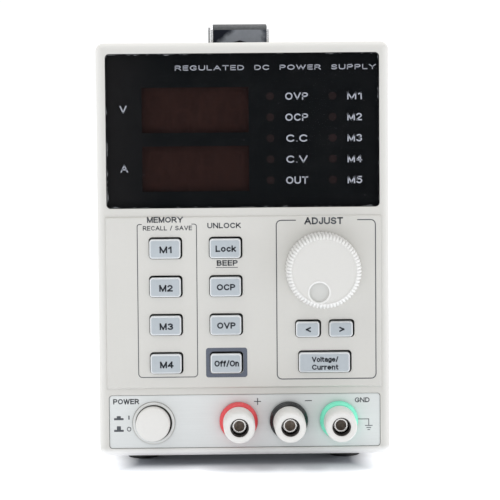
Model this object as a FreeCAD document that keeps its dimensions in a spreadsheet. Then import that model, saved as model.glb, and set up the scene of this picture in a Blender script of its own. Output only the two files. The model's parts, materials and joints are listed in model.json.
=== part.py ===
import FreeCAD, Part
import math
import os
import re
import sys
import Sketcher
from FreeCAD import Placement, Rotation, Vector

# A single-output bench power supply in a narrow upright cabinet.
# Frame: +X right and +Y back as seen from the front, +Z up, floor at Z = 0,
# origin under the middle of the whole object. Millimetres.
# Depths written as back("...") count from the front rim of the bezel towards the rear.

DIMENSIONS = [
    # cabinet
    ("bezel_width", 110.0, "front bezel, side to side"),
    ("bezel_height", 156.0, "front bezel, bottom to top"),
    ("bezel_depth", 18.0, "bezel, rim to rear edge"),
    ("bezel_corner", 3.0, "bezel corner radius seen from the front"),
    ("bezel_round", 2.5, "rounding of the bezel's outer front edge"),
    ("bezel_wall", 2.5, "bezel side wall"),
    ("face_wall", 4.0, "bezel front wall, rim to inside"),
    ("case_depth", 310.0, "bezel rim to rear panel"),
    ("nose_reach", 19.9, "how far the terminal caps stand ahead of the rim"),
    ("tail_reach", 3.95, "how far the rear fittings stand behind the panel"),
    ("foot_height", 4.0, "rubber foot, below the bezel"),
    ("sheet", 1.0, "steel sheet"),
    ("sheet_corner", 1.5, "cut corner of a panel that sits inside the cover's bends"),
    ("cover_gap", 1.0, "step from bezel to cover"),
    ("cover_lap", 3.7, "how far the cover reaches into the bezel"),
    ("vent_width", 3.0, "cooling slot"),
    ("vent_height", 30.0, "cooling slot"),
    ("vent_pitch", 7.0, "cooling slots"),
    # display window
    ("window_width", 102.6, "tinted window"),
    ("window_height", 57.8, "tinted window"),
    ("window_mid", 123.0, "window centre above the bezel's bottom"),
    ("window_sink", 0.6, "window face behind the rim"),
    ("window_thick", 2.0, "tinted window"),
    ("digit_width", 44.0, "digit module"),
    ("digit_height", 18.6, "digit module"),
    ("digit_across", -17.8, "digit module centre"),
    ("volt_row", 130.7, "upper digit module above the bezel's bottom"),
    ("amp_row", 108.6, "lower digit module above the bezel's bottom"),
    ("lamp_left", 10.5, "first lamp column"),
    ("lamp_right", 34.0, "second lamp column"),
    ("lamp_top", 135.4, "top lamp above the bezel's bottom"),
    ("lamp_step", 7.95, "lamp pitch"),
    ("lamp_radius", 1.5, "indicator lamp"),
    # key panel
    ("panel_width", 103.8, "raised key panel"),
    ("panel_height", 65.0, "raised key panel"),
    ("panel_mid", 58.3, "key panel centre above the bezel's bottom"),
    ("panel_rise", 0.6, "key panel ahead of the rim"),
    ("key_rise", 2.0, "key top ahead of the key panel"),
    ("key_gap", 0.45, "gap round a key"),
    ("key_travel", 0.5, "key stroke"),
    ("key_flange", 0.9, "how far the flange behind the panel reaches past a key's opening"),
    ("key_stem", 2.0, "radius of a key's stem"),
    ("key_corner", 1.1, "key corner radius"),
    ("board_front", 12.0, "control board's front face behind the rim"),
    ("board_thick", 1.6, "printed circuit boards"),
    ("switch_tall", 3.8, "tact switch with its plunger"),
    # knob
    ("knob_across", 29.7, "knob centre"),
    ("knob_up", 70.7, "knob centre above the bezel's bottom"),
    ("knob_radius", 14.1, "knob"),
    ("knob_face", 11.8, "flat front of the knob"),
    ("knob_depth", 14.5, "knob"),
    ("shaft_radius", 3.0, "encoder shaft"),
    ("dimple_reach", 7.9, "finger dimple from the knob's axis"),
    ("dimple_radius", 4.1, "finger dimple"),
    ("dimple_deep", 1.3, "finger dimple"),
    # lower strip
    ("plate_width", 102.4, "terminal plate"),
    ("plate_height", 20.0, "terminal plate"),
    ("plate_mid", 13.1, "terminal plate centre above the bezel's bottom"),
    ("plate_sink", 0.3, "terminal plate face behind the rim"),
    ("plate_thick", 0.8, "terminal plate"),
    ("power_across", -34.5, "power button centre"),
    ("power_up", 12.6, "power button centre above the bezel's bottom"),
    ("power_radius", 6.6, "power button"),
    ("power_rim", 1.4, "moulded ring round the power button"),
    ("power_rise", 5.5, "power button ahead of the plate, off"),
    ("power_travel", 3.5, "power button stroke"),
    ("post_across", -2.4, "first terminal"),
    ("post_pitch", 19.0, "terminal pitch"),
    ("collar_radius", 7.25, "terminal collar"),
    ("collar_thick", 4.0, "terminal collar"),
    ("cap_radius", 6.0, "terminal cap"),
    ("cap_long", 16.0, "terminal cap"),
    ("mouth_radius", 3.45, "opening in the cap's end"),
    ("socket_radius", 2.0, "4 mm plug socket"),
    ("socket_deep", 16.0, "plug socket"),
    ("socket_inset", 5.5, "metal sleeve behind the end of its cap"),
    ("stem_radius", 3.0, "threaded stem"),
    ("collar_spigot", 4.1, "radius of the collar's neck in the bezel's hole"),
    ("insert_radius", 4.6, "brass insert of a cap"),
    ("insert_long", 7.5, "brass insert of a cap"),
    # handle
    ("handle_front", 45.0, "front end of the handle behind the rim"),
    ("handle_span", 210.0, "handle, end to end"),
    ("clip_width", 22.8, "chrome end clip"),
    ("clip_long", 34.0, "chrome end clip"),
    ("clip_tall", 8.4, "chrome end clip"),
    ("clip_nose", 6.3, "height of a clip's outer end"),
    ("strap_width", 19.0, "carrying strap"),
    ("strap_thick", 3.6, "carrying strap"),
    # underside and rear
    ("foot_across", 39.0, "foot centre from the middle"),
    ("foot_inset", 26.0, "front foot centre behind the rim"),
    ("foot_radius", 6.0, "rubber foot"),
    ("foot_recess", 2.2, "recess for the screw head under a foot"),
    ("screw_hole", 1.55, "clearance hole for an M3 screw"),
    ("core_width", 96.0, "transformer core, front to back"),
    ("core_height", 80.0, "transformer core"),
    ("core_thick", 48.0, "transformer core, side to side"),
    ("core_up", 42.8, "transformer core's middle above the chassis deck"),
    ("deck_board_width", 94.0, "main board"),
    ("deck_board_long", 136.0, "main board"),
    ("deck_board_up", 10.0, "main board above the bezel's bottom"),
    ("can_radius", 15.0, "filter capacitor"),
    ("can_tall", 50.0, "filter capacitor"),
    ("sink_long", 94.0, "heatsink"),
    ("fan_size", 80.0, "fan frame"),
    ("fan_thick", 25.0, "fan frame"),
    ("fan_up", 112.6, "fan centre above the bezel's bottom"),
    ("fan_bore", 38.0, "fan frame bore radius"),
    ("fan_pitch", 71.5, "fan screw pitch"),
    ("inlet_across", -27.0, "mains inlet centre"),
    ("inlet_up", 37.0, "mains inlet centre above the bezel's bottom"),
    ("selector_up", 54.0, "voltage selector above the bezel's bottom"),
    ("port_across", 25.0, "data ports and voltage selector centre"),
    ("serial_up", 34.0, "serial port above the bezel's bottom"),
    ("usb_up", 20.0, "USB port above the bezel's bottom"),
]

KEYS = [
    # label, centre across, centre above the bezel's bottom, opening width, opening height
    ("memory_key_1", -29.4, 79.0, 12.6, 8.3),
    ("memory_key_2", -29.4, 64.5, 12.6, 8.3),
    ("memory_key_3", -29.4, 50.0, 12.6, 8.3),
    ("memory_key_4", -29.4, 35.5, 12.6, 8.3),
    ("lock_key", -6.75, 79.0, 12.6, 8.3),
    ("current_limit_key", -6.75, 64.5, 12.6, 8.3),
    ("voltage_limit_key", -6.75, 50.0, 12.6, 8.3),
    ("output_key", -6.75, 35.5, 12.6, 8.3),
    ("cursor_left_key", 24.15, 48.1, 9.8, 6.8),
    ("cursor_right_key", 36.75, 48.1, 9.8, 6.8),
    ("mode_key", 30.4, 35.5, 20.2, 8.5),
]
POSTS = ("red", "black", "green")
ALIASES = {alias for alias, _, _ in DIMENSIONS}

doc = FreeCAD.newDocument("bench_power_supply")
sheet = doc.addObject("Spreadsheet::Sheet", "dims")
for row, (alias, number, note) in enumerate(DIMENSIONS, 1):
    sheet.set(f"A{row}", alias)
    sheet.set(f"B{row}", str(number))
    sheet.setAlias(f"B{row}", alias)
    sheet.set(f"C{row}", note)
doc.recompute()

subparts = []


def bound(formula):
    """The formula with each dimension name turned into a reference to its cell."""
    def cell(match):
        word = match.group(0)
        return "dims." + word if word in ALIASES else word

    return re.sub(r"[a-z_]+", cell, str(formula))


def number(formula):
    return float(sheet.evalExpression(bound(formula)))


def back(formula):
    """A depth behind the bezel's rim, as a Y formula."""
    return f"(nose_reach - tail_reach - case_depth) / 2 + ({formula})"


def up(formula):
    """A height above the bezel's bottom edge, as a Z formula."""
    return f"foot_height + ({formula})"


# ---------------------------------------------------------------- sketch outlines


def pin(sketch, shape, point, across, along):
    """Ties a point of the sketch to a place measured from the sketch's origin."""
    for kind, formula in (("DistanceX", across), ("DistanceY", along)):
        tie = Sketcher.Constraint(kind, -1, 1, shape, point, number(formula))
        index = sketch.addConstraint(tie)
        sketch.setExpression(f"Constraints[{index}]", bound(formula))


def circle(across, along, radius):
    def draw(sketch):
        middle = Vector(number(across), number(along), 0)
        ring = sketch.addGeometry(Part.Circle(middle, Vector(0, 0, 1), number(radius)), False)
        index = sketch.addConstraint(Sketcher.Constraint("Radius", ring, number(radius)))
        sketch.setExpression(f"Constraints[{index}]", bound(radius))
        pin(sketch, ring, 3, across, along)

    return draw


def outline(*points):
    """A closed outline of straight lines through points given as formulas."""
    def draw(sketch):
        places = [Vector(number(a), number(b), 0) for a, b in points]
        lines = []
        for i, place in enumerate(places):
            nearby = places[(i + 1) % len(places)]
            lines.append(sketch.addGeometry(Part.LineSegment(place, nearby), False))
        for i, line in enumerate(lines):
            following = lines[(i + 1) % len(lines)]
            sketch.addConstraint(Sketcher.Constraint("Coincident", line, 2, following, 1))
            pin(sketch, line, 1, *points[i])

    return draw


def rectangle(across, along, width, height):
    left, right = f"{across} - ({width}) / 2", f"{across} + ({width}) / 2"
    low, high = f"{along} - ({height}) / 2", f"{along} + ({height}) / 2"
    return outline((left, low), (right, low), (right, high), (left, high))


def rounded(across, along, width, height, radius):
    """A rectangle with rounded corners: four lines joined by four quarter arcs."""
    def draw(sketch):
        a, b = number(across), number(along)
        w, h, r = number(width) / 2, number(height) / 2, number(radius)
        quarter = math.pi / 2
        lines, arcs = [], []
        ends = [
            ((-w + r, -h), (w - r, -h)),
            ((w, -h + r), (w, h - r)),
            ((w - r, h), (-w + r, h)),
            ((-w, h - r), (-w, -h + r)),
        ]
        for start, end in ends:
            line = Part.LineSegment(
                Vector(a + start[0], b + start[1], 0), Vector(a + end[0], b + end[1], 0)
            )
            lines.append(sketch.addGeometry(line, False))
        middles = [(w - r, -h + r), (w - r, h - r), (-w + r, h - r), (-w + r, -h + r)]
        for i, (x, y) in enumerate(middles):
            whole = Part.Circle(Vector(a + x, b + y, 0), Vector(0, 0, 1), r)
            arc = Part.ArcOfCircle(whole, (i - 1) * quarter, i * quarter)
            arcs.append(sketch.addGeometry(arc, False))
        for i in range(4):
            sketch.addConstraint(Sketcher.Constraint("Tangent", lines[i], 2, arcs[i], 1))
            following = lines[(i + 1) % 4]
            sketch.addConstraint(Sketcher.Constraint("Tangent", arcs[i], 2, following, 1))
            level = "Horizontal" if i % 2 == 0 else "Vertical"
            sketch.addConstraint(Sketcher.Constraint(level, lines[i]))
            if i:
                sketch.addConstraint(Sketcher.Constraint("Equal", arcs[0], arcs[i]))
        ties = [
            ("Radius", (arcs[0],), r, radius),
            ("DistanceY", (-1, 1, lines[0], 1), b - h, f"{along} - ({height}) / 2"),
            ("DistanceX", (-1, 1, lines[1], 1), a + w, f"{across} + ({width}) / 2"),
            ("DistanceY", (-1, 1, lines[2], 1), b + h, f"{along} + ({height}) / 2"),
            ("DistanceX", (-1, 1, lines[3], 1), a - w, f"{across} - ({width}) / 2"),
        ]
        for kind, places, size, formula in ties:
            index = sketch.addConstraint(Sketcher.Constraint(kind, *places, size))
            sketch.setExpression(f"Constraints[{index}]", bound(formula))

    return draw


# ---------------------------------------------------------------- pieces

# Each plane's origin role, and whether its normal runs along (+1) or against (-1) its axis.
# Seen on a plane, a sketch's own directions are X and Z, X and Y, and Y and Z.
PLANES = {"front": ("XZ_Plane", -1), "top": ("XY_Plane", 1), "side": ("YZ_Plane", 1)}


class Piece:
    """One physical piece as a PartDesign body, modelled about its own origin and placed."""

    def __init__(self, label, across="0", along="0", height="0"):
        self.label = label
        self.body = doc.addObject("PartDesign::Body", label)
        self.body.Label = label
        self.body.AllowCompound = True
        self.volume = 0.0
        for axis, formula in (("x", across), ("y", along), ("z", height)):
            self.body.setExpression(f"Placement.Base.{axis}", bound(formula))
        subparts.append(self.body)

    def origin(self, role):
        return next(f for f in self.body.Origin.OriginFeatures if f.Role == role)

    def add(self, kind):
        return self.body.newObject(kind, self.label + "_" + kind.split("::")[1].lower())

    def sketch(self, plane, station, shapes):
        role, sign = PLANES[plane]
        sketch = self.add("Sketcher::SketchObject")
        sketch.AttachmentSupport = [(self.origin(role), "")]
        sketch.MapMode = "FlatFace"
        sketch.setExpression("AttachmentOffset.Base.z", bound(f"{sign} * ({station})"))
        for draw in shapes:
            draw(sketch)
        return sketch

    def finish(self, feature):
        """Recomputes after a feature, and stops if it failed or changed nothing."""
        self.body.Tip = feature
        doc.recompute()
        if not feature.isValid() or feature.Shape.isNull():
            sys.exit(f"{feature.Name} failed: {feature.State}")
        if abs(feature.Shape.Volume - self.volume) < 1e-4:
            sys.exit(f"{feature.Name} changed nothing")
        self.volume = feature.Shape.Volume
        return feature

    def pad(self, plane, start, end, *shapes, taper=0):
        """Adds the shapes as solids between two stations of the plane's axis."""
        feature_sketch = self.sketch(plane, start, shapes)
        feature = self.add("PartDesign::Pad")
        feature.Profile = feature_sketch
        feature.Reversed = PLANES[plane][1] < 0
        feature.TaperAngle = taper
        feature.setExpression("Length", bound(f"({end}) - ({start})"))
        return self.finish(feature)

    def cut(self, plane, start, end, *shapes):
        """Cuts the shapes away between two stations of the plane's axis."""
        feature_sketch = self.sketch(plane, start, shapes)
        feature = self.add("PartDesign::Pocket")
        feature.Profile = feature_sketch
        feature.Reversed = PLANES[plane][1] > 0
        feature.setExpression("Length", bound(f"({end}) - ({start})"))
        return self.finish(feature)

    def turn(self, axis, *points, kind="PartDesign::Revolution"):
        """Turns an outline of (radius, station) points about the body's Y or Z axis."""
        plane = "top" if axis == "Y" else "front"
        feature_sketch = self.sketch(plane, "0", [outline(*points)])
        feature = self.add(kind)
        feature.Profile = feature_sketch
        feature.ReferenceAxis = (self.origin(axis + "_Axis"), [""])
        feature.Angle = 360
        return self.finish(feature)

    def ring(self, feature, axis, count):
        """Repeats a feature round the body's axis."""
        pattern = self.add("PartDesign::PolarPattern")
        pattern.Originals = [feature]
        pattern.Axis = (self.origin(axis + "_Axis"), [""])
        pattern.Angle = 360
        pattern.Occurrences = count
        return self.finish(pattern)

    def row(self, feature, axis, length, count):
        """Repeats a feature along an axis."""
        pattern = self.add("PartDesign::LinearPattern")
        pattern.Originals = [feature]
        pattern.Direction = (self.origin(axis + "_Axis"), [""])
        pattern.Occurrences = count
        pattern.setExpression("Length", bound(length))
        return self.finish(pattern)

    def soften(self, kind, size, chosen):
        """Fillets or chamfers the edges of the current shape that chosen(box) picks."""
        tip = self.body.Tip
        names = [
            f"Edge{i}" for i, edge in enumerate(tip.Shape.Edges, 1) if chosen(edge.BoundBox)
        ]
        if not names:
            sys.exit(f"{self.label}: no edge to {kind}")
        feature = self.add("PartDesign::" + kind)
        feature.Base = (tip, names)
        feature.setExpression("Radius" if kind == "Fillet" else "Size", bound(size))
        return self.finish(feature)


def at_depth(formula, reach=None):
    """Picks edges that lie in one plane across Y, and within reach of the Y axis if given."""
    depth = number(formula)

    def chosen(box):
        flat = abs(box.YMin - depth) < 1e-3 and abs(box.YMax - depth) < 1e-3
        near = reach is None or max(abs(box.XMin), abs(box.XMax)) < reach
        return flat and near

    return chosen


def at_height(formula):
    height = number(formula)
    return lambda box: abs(box.ZMin - height) < 1e-3 and abs(box.ZMax - height) < 1e-3


def upper_side_edges(box):
    """Picks the clips' long top edges."""
    side = number("clip_width / 2")
    flat = abs(box.XMax - box.XMin) < 1e-3 and abs(abs(box.XMax) - side) < 1e-3
    return flat and box.ZMax > number(f"{ROOF} + clip_nose + 0.1")


def group(label, prototype, places):
    """One node that holds a separate copy of a small solid at each place."""
    copies = []
    for place in places:
        copy = prototype.copy()
        copy.Placement = place
        copies.append(copy)
    feature = doc.addObject("Part::Feature", label)
    feature.Label = label
    feature.Shape = Part.makeCompound(copies)
    subparts.append(feature)


def spot(across, depth, height, turn_axis=(0, 0, 1), angle=0):
    """A placement from formulas, turned about an axis."""
    base = Vector(number(across), number(depth), number(height))
    return Placement(base, Rotation(Vector(*turn_axis), angle))


# ---------------------------------------------------------------- front bezel

BOARD_SCREWS = [("-47", "30"), ("47", "30"), ("-47", "92.5"), ("47", "92.5")]
FRAME_SCREWS = [("-46", "7"), ("46", "7"), ("-46", "149"), ("46", "149")]
CENTRE = up("bezel_height / 2")


def post_x(index):
    return f"post_across + {index} * post_pitch"


def front_bezel():
    piece = Piece("front_bezel")
    rim, inside = back("0"), back("face_wall")
    piece.pad(
        "front", rim, back("bezel_depth"),
        rounded("0", CENTRE, "bezel_width", "bezel_height", "bezel_corner"),
    )
    piece.soften("Fillet", "bezel_round", at_depth(rim))
    piece.cut(
        "front", inside, back("bezel_depth"),
        rounded(
            "0", CENTRE, "bezel_width - 2 * bezel_wall",
            "bezel_height - 2 * bezel_wall", "bezel_corner - 1",
        ),
    )
    piece.cut(
        "front", back("bezel_depth - 4"), back("bezel_depth"),
        rounded(
            "0", CENTRE, "bezel_width - 2 * cover_gap + 0.4",
            "bezel_height - 2 * cover_gap + 0.4", "bezel_corner - 1",
        ),
    )
    raised = back("-panel_rise")
    piece.pad(
        "front", raised, rim,
        rectangle("0", up("panel_mid"), "panel_width", "panel_height"),
    )
    piece.soften("Chamfer", "0.4", at_depth(raised))
    window_floor = back("window_sink + window_thick")
    piece.cut(
        "front", rim, window_floor,
        rounded(
            "0", up("window_mid"), "window_width + 0.3", "window_height + 0.3", "1.6"
        ),
    )
    piece.cut(
        "front", window_floor, inside,
        rectangle("0", up("window_mid - 2"), "window_width - 10", "44"),
    )
    plate_floor = back("plate_sink + plate_thick")
    piece.cut(
        "front", rim, plate_floor,
        rounded("0", up("plate_mid"), "plate_width + 0.3", "plate_height + 0.3", "1.2"),
    )
    piece.pad(
        "front", back("plate_sink - 0.6"), plate_floor,
        circle("power_across", up("power_up"), "power_radius + power_rim"),
    )
    for _, x, z, width, height in KEYS:
        opening = rounded(x, up(z), width, height, "key_corner + 0.3")
        piece.cut("front", raised, inside, opening)
    post_hole = "collar_spigot + 0.1"
    holes = [circle(post_x(i), up("plate_mid"), post_hole) for i in range(len(POSTS))]
    holes.append(circle("power_across", up("power_up"), "power_radius + 0.3"))
    holes.append(circle("knob_across", up("knob_up"), "3.7"))
    piece.cut("front", raised, inside, *holes)
    piece.pad(
        "front", inside, back("board_front"),
        *[circle(x, up(z), "3") for x, z in BOARD_SCREWS],
    )
    piece.pad(
        "front", inside, back("bezel_depth - 2"),
        *[circle(x, up(z), "3.4") for x, z in FRAME_SCREWS],
    )
    piece.cut(
        "front", back("board_front - 5"), back("board_front"),
        *[circle(x, up(z), "1.5") for x, z in BOARD_SCREWS],
    )
    piece.cut(
        "front", back("bezel_depth - 8"), back("bezel_depth - 2"),
        *[circle(x, up(z), "1.5") for x, z in FRAME_SCREWS],
    )


def display_parts():
    window = Piece("display_window")
    window_face = back("window_sink")
    window.pad(
        "front", window_face, back("window_sink + window_thick"),
        rounded("0", up("window_mid"), "window_width", "window_height", "1.5"),
    )
    window.soften("Chamfer", "0.3", at_depth(window_face))

    digits = Piece("digit_displays")
    digits.pad(
        "front", back("face_wall + 0.4"), back("board_front"),
        rectangle("digit_across", up("volt_row"), "digit_width", "digit_height"),
        rectangle("digit_across", up("amp_row"), "digit_width", "digit_height"),
    )

    lamps = Piece("indicator_lamps")
    lamp_tip = back("face_wall + 1")
    lamps.pad(
        "front", lamp_tip, back("board_front"),
        *[
            circle(column, up(f"lamp_top - {row} * lamp_step"), "lamp_radius")
            for column in ("lamp_left", "lamp_right")
            for row in range(5)
        ],
    )
    lamps.soften("Fillet", "lamp_radius - 0.15", at_depth(lamp_tip))


def control_board():
    piece = Piece("control_board")
    piece.pad(
        "front", back("board_front"), back("board_front + board_thick"),
        rectangle("0", up("89.5"), "102", "126"),
    )
    piece.cut(
        "front", back("board_front"), back("board_front + board_thick"),
        *[circle(x, up(z), "1.6") for x, z in BOARD_SCREWS],
        *[circle(x, up("149"), "4") for x in ("-46", "46")],
    )

    switches = Piece("tact_switches")
    body_front = back("board_front - switch_tall + 0.9")
    switches.pad(
        "front", body_front, back("board_front"),
        *[rectangle(x, up(z), "6", "6") for _, x, z, _, _ in KEYS],
    )
    switches.pad(
        "front", back("board_front - switch_tall"), body_front,
        *[circle(x, up(z), "1.7") for _, x, z, _, _ in KEYS],
    )


def key(label, across, height, width, tall):
    """A keycap with the flange that keeps it behind the panel and a stem for its switch."""
    piece = Piece(label, across, back("0"), up(height))
    top = "-panel_rise - key_rise"
    cap_width, cap_tall = f"{width} - 2 * key_gap", f"{tall} - 2 * key_gap"
    piece.pad("front", top, "face_wall + 0.3", rounded("0", "0", cap_width, cap_tall, "key_corner"))
    piece.soften("Fillet", "0.45", at_depth(top))
    piece.pad(
        "front", "face_wall + 0.3", "face_wall + 1.3",
        rectangle("0", "0", f"{width} + 2 * key_flange", f"{tall} + 2 * key_flange"),
    )
    piece.pad(
        "front", "face_wall + 1.3", "board_front - switch_tall - key_travel - 0.1",
        circle("0", "0", "key_stem"),
    )


# ---------------------------------------------------------------- knob and power button


def knob_parts():
    place = ("knob_across", back("0"), up("knob_up"))
    knob_back = "-panel_rise - 0.7"
    knob_front = f"{knob_back} - knob_depth"
    bevel = "1.9"

    encoder = Piece("encoder_body", *place)
    encoder.pad("front", "face_wall + 0.6", "board_front", rectangle("0", "0", "12", "12"))
    encoder.pad("front", "0.5 - panel_rise", "face_wall + 0.6", circle("0", "0", "3.5"))
    encoder.cut("front", "-panel_rise", "board_front - 1.5", circle("0", "0", "shaft_radius + 0.05"))

    shaft = Piece("encoder_shaft", *place)
    shaft.pad("front", f"{knob_front} + 3.5", "board_front - 1.8", circle("0", "0", "shaft_radius"))
    shaft.cut(
        "front", f"{knob_front} + 3.5", f"{knob_front} + 12",
        rectangle("0", "shaft_radius", "2 * shaft_radius", "3"),
    )

    knob = Piece("adjust_knob", *place)
    knob.turn(
        "Y",
        ("0", knob_back),
        ("knob_radius", knob_back),
        ("knob_radius", f"{knob_front} + {bevel}"),
        ("knob_face + 0.5", f"{knob_front} + 0.1"),
        ("knob_face", knob_front),
        ("0", knob_front),
    )
    knob.cut("front", f"{knob_front} + 5", knob_back, circle("0", "0", "knob_radius - 2"))
    knob.pad(
        "front", f"{knob_front} + 4.9", f"{knob_back} - 1", circle("0", "0", "shaft_radius + 2.5")
    )
    knob.cut(
        "front", f"{knob_front} + 3.4", f"{knob_back} - 1", circle("0", "0", "shaft_radius + 0.01")
    )
    knob.pad(
        "front", f"{knob_front} + 3.3", f"{knob_front} + 12",
        rectangle("0", "shaft_radius", "4", "2.8"),
    )
    knob.cut(
        "front", knob_front, f"{knob_front} + dimple_deep",
        circle("-0.25 * dimple_reach", "-0.97 * dimple_reach", "dimple_radius"),
    )


def power_parts():
    place = ("power_across", back("plate_sink"), up("power_up"))
    button = Piece("power_button", *place)
    button.pad("front", "-power_rise", "9", circle("0", "0", "power_radius"))
    button.soften("Fillet", "0.8", at_depth("-power_rise"))
    button.cut("front", "-power_rise + 2", "9", circle("0", "0", "power_radius - 1.3"))
    button.pad("front", "-power_rise + 1.9", "7", circle("0", "0", "3"))
    button.cut("front", "1", "7", rectangle("0", "0", "3", "3"))

    plunger = Piece("power_plunger", *place)
    plunger.pad("front", "1", "22", rectangle("0", "0", "3", "3"))

    switch = Piece("power_switch", "power_across", back("0"), up("power_up"))
    frame_face, switch_back = "bezel_depth - 2", "36"
    switch.pad("front", f"{frame_face} - 1", frame_face, rectangle("0", "0", "15.8", "18.6"))
    switch.pad("front", frame_face, switch_back, rectangle("0", "0", "15", "14"))
    switch.cut(
        "front", f"{frame_face} - 1", "23 + power_travel", rectangle("0", "0", "3.2", "3.2")
    )
    blades = [rectangle(x, "0", "0.8", "5") for x in ("-5", "5")]
    switch.pad("front", switch_back, f"{switch_back} + 3", *blades)


# ---------------------------------------------------------------- terminals


def terminal(index, colour):
    """The coloured collar, the cap and the cap's brass insert of one terminal."""
    place = (post_x(index), back("plate_sink"), up("plate_mid"))
    collar_front = "-collar_thick"
    cap_back = f"{collar_front} - 0.2"
    cap_front = f"{cap_back} - cap_long"

    collar = Piece(colour + "_collar", *place)
    collar.turn(
        "Y",
        ("stem_radius + 0.1", "face_wall - plate_sink - 0.1"),
        ("collar_spigot", "face_wall - plate_sink - 0.1"),
        ("collar_spigot", "0"),
        ("collar_radius", "0"),
        ("collar_radius", f"{collar_front} + 1.6"),
        ("collar_radius - 0.7", collar_front),
        ("stem_radius + 0.1", collar_front),
    )

    insert = Piece(colour + "_cap_insert", *place)
    insert_back = f"{cap_back} - 0.5"
    insert_front = f"{insert_back} - insert_long"
    insert.turn(
        "Y",
        ("stem_radius + 0.05", insert_back),
        ("insert_radius", insert_back),
        ("insert_radius", insert_front),
        ("stem_radius + 0.05", insert_front),
    )

    cap = Piece(colour + "_cap", *place)
    cap.turn(
        "Y",
        ("insert_radius + 0.05", cap_back),
        ("cap_radius", cap_back),
        ("cap_radius", f"{cap_front} + 1.2"),
        ("cap_radius - 0.4", f"{cap_front} + 0.35"),
        ("cap_radius - 1.2", cap_front),
        ("mouth_radius + 0.5", cap_front),
        ("mouth_radius", f"{cap_front} + 0.5"),
        ("mouth_radius", f"{insert_front} - 0.05"),
        ("insert_radius + 0.05", f"{insert_front} - 0.05"),
    )


def terminal_metal():
    stems = Piece("terminal_stems", "0", back("plate_sink"), up("plate_mid"))
    tip = "-collar_thick - 0.2 - cap_long + socket_inset"
    thread_end = "-collar_thick - 9.5"
    places = [post_x(i) for i in range(len(POSTS))]
    stems.pad("front", thread_end, "16", *[circle(x, "0", "stem_radius") for x in places])
    stems.pad(
        "front", tip, thread_end, *[circle(x, "0", "socket_radius + 0.6") for x in places]
    )
    stems.cut(
        "front", tip, f"{tip} + socket_deep", *[circle(x, "0", "socket_radius") for x in places]
    )

    nuts = Piece("terminal_nuts", "0", back("face_wall"), up("plate_mid"))
    flats = 5.0
    corner = flats / math.cos(math.pi / 6)
    hexagons = [
        outline(
            (f"{x} + {corner}", "0"),
            (f"{x} + {corner / 2}", flats),
            (f"{x} - {corner / 2}", flats),
            (f"{x} - {corner}", "0"),
            (f"{x} - {corner / 2}", -flats),
            (f"{x} + {corner / 2}", -flats),
        )
        for x in places
    ]
    nuts.pad("front", "0", "3", *hexagons)
    nuts.cut("front", "0", "3", *[circle(x, "0", "stem_radius + 0.05") for x in places])

    plate = Piece("terminal_plate")
    plate_face, plate_back = back("plate_sink"), back("plate_sink + plate_thick")
    plate.pad(
        "front", plate_face, plate_back,
        rounded("0", up("plate_mid"), "plate_width", "plate_height", "1.1"),
    )
    plate.cut(
        "front", plate_face, plate_back,
        *[circle(x, up("plate_mid"), "collar_spigot + 0.1") for x in places],
        circle("power_across", up("power_up"), "power_radius + power_rim + 0.1"),
    )


# ---------------------------------------------------------------- cabinet

HALF = "(bezel_width / 2 - cover_gap)"
ROOF = up("bezel_height - cover_gap")
FLOOR = up("cover_gap")
THROUGH = ("-bezel_width", "bezel_width")
SIDE_SCREWS = ("40", "165", "292")
SIDE_SCREW_UP = "9.5"
BOARD_STUDS = [(x, depth) for x in ("-42", "42") for depth in ("146", "270")]
FEET = [
    (side, depth)
    for side in ("-foot_across", "foot_across")
    for depth in ("foot_inset", "case_depth - foot_inset")
]
REAR_SCREWS = [("-46", "7"), ("46", "7")]
CORNERS = [(a, b) for a in (-1, 1) for b in (-1, 1)]


def handle_screw_depths():
    return ["handle_front + 17", "handle_front + handle_span - 17"]


def top_cover():
    piece = Piece("top_cover")
    front, rear = back("bezel_depth - cover_lap"), back("case_depth")
    bend = "bezel_corner - 0.6"
    piece.pad(
        "front", front, rear,
        rounded("0", CENTRE, f"2 * {HALF}", "bezel_height - 2 * cover_gap", bend),
    )
    piece.cut(
        "front", front, rear,
        rounded(
            "0", CENTRE, f"2 * {HALF} - 2 * sheet",
            "bezel_height - 2 * cover_gap - 2 * sheet", f"{bend} - sheet",
        ),
    )
    piece.cut(
        "front", front, rear,
        rectangle("0", up("cover_gap"), f"2 * {HALF} + 2", "6"),
    )
    first_vent, vent_count = back("62"), 29
    vents = piece.cut(
        "side", *THROUGH,
        rounded(first_vent, up("44"), "vent_width", "vent_height", "vent_width / 2 - 0.1"),
        rounded(first_vent, up("112"), "vent_width", "vent_height", "vent_width / 2 - 0.1"),
    )
    piece.row(vents, "Y", f"vent_pitch * {vent_count - 1}", vent_count)
    piece.cut(
        "side", *THROUGH,
        *[circle(back(depth), up(SIDE_SCREW_UP), "1.6") for depth in SIDE_SCREWS],
    )
    piece.cut(
        "top", up("bezel_height - 10"), up("bezel_height"),
        *[circle("0", back(depth), "2.6") for depth in handle_screw_depths()],
    )


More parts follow.
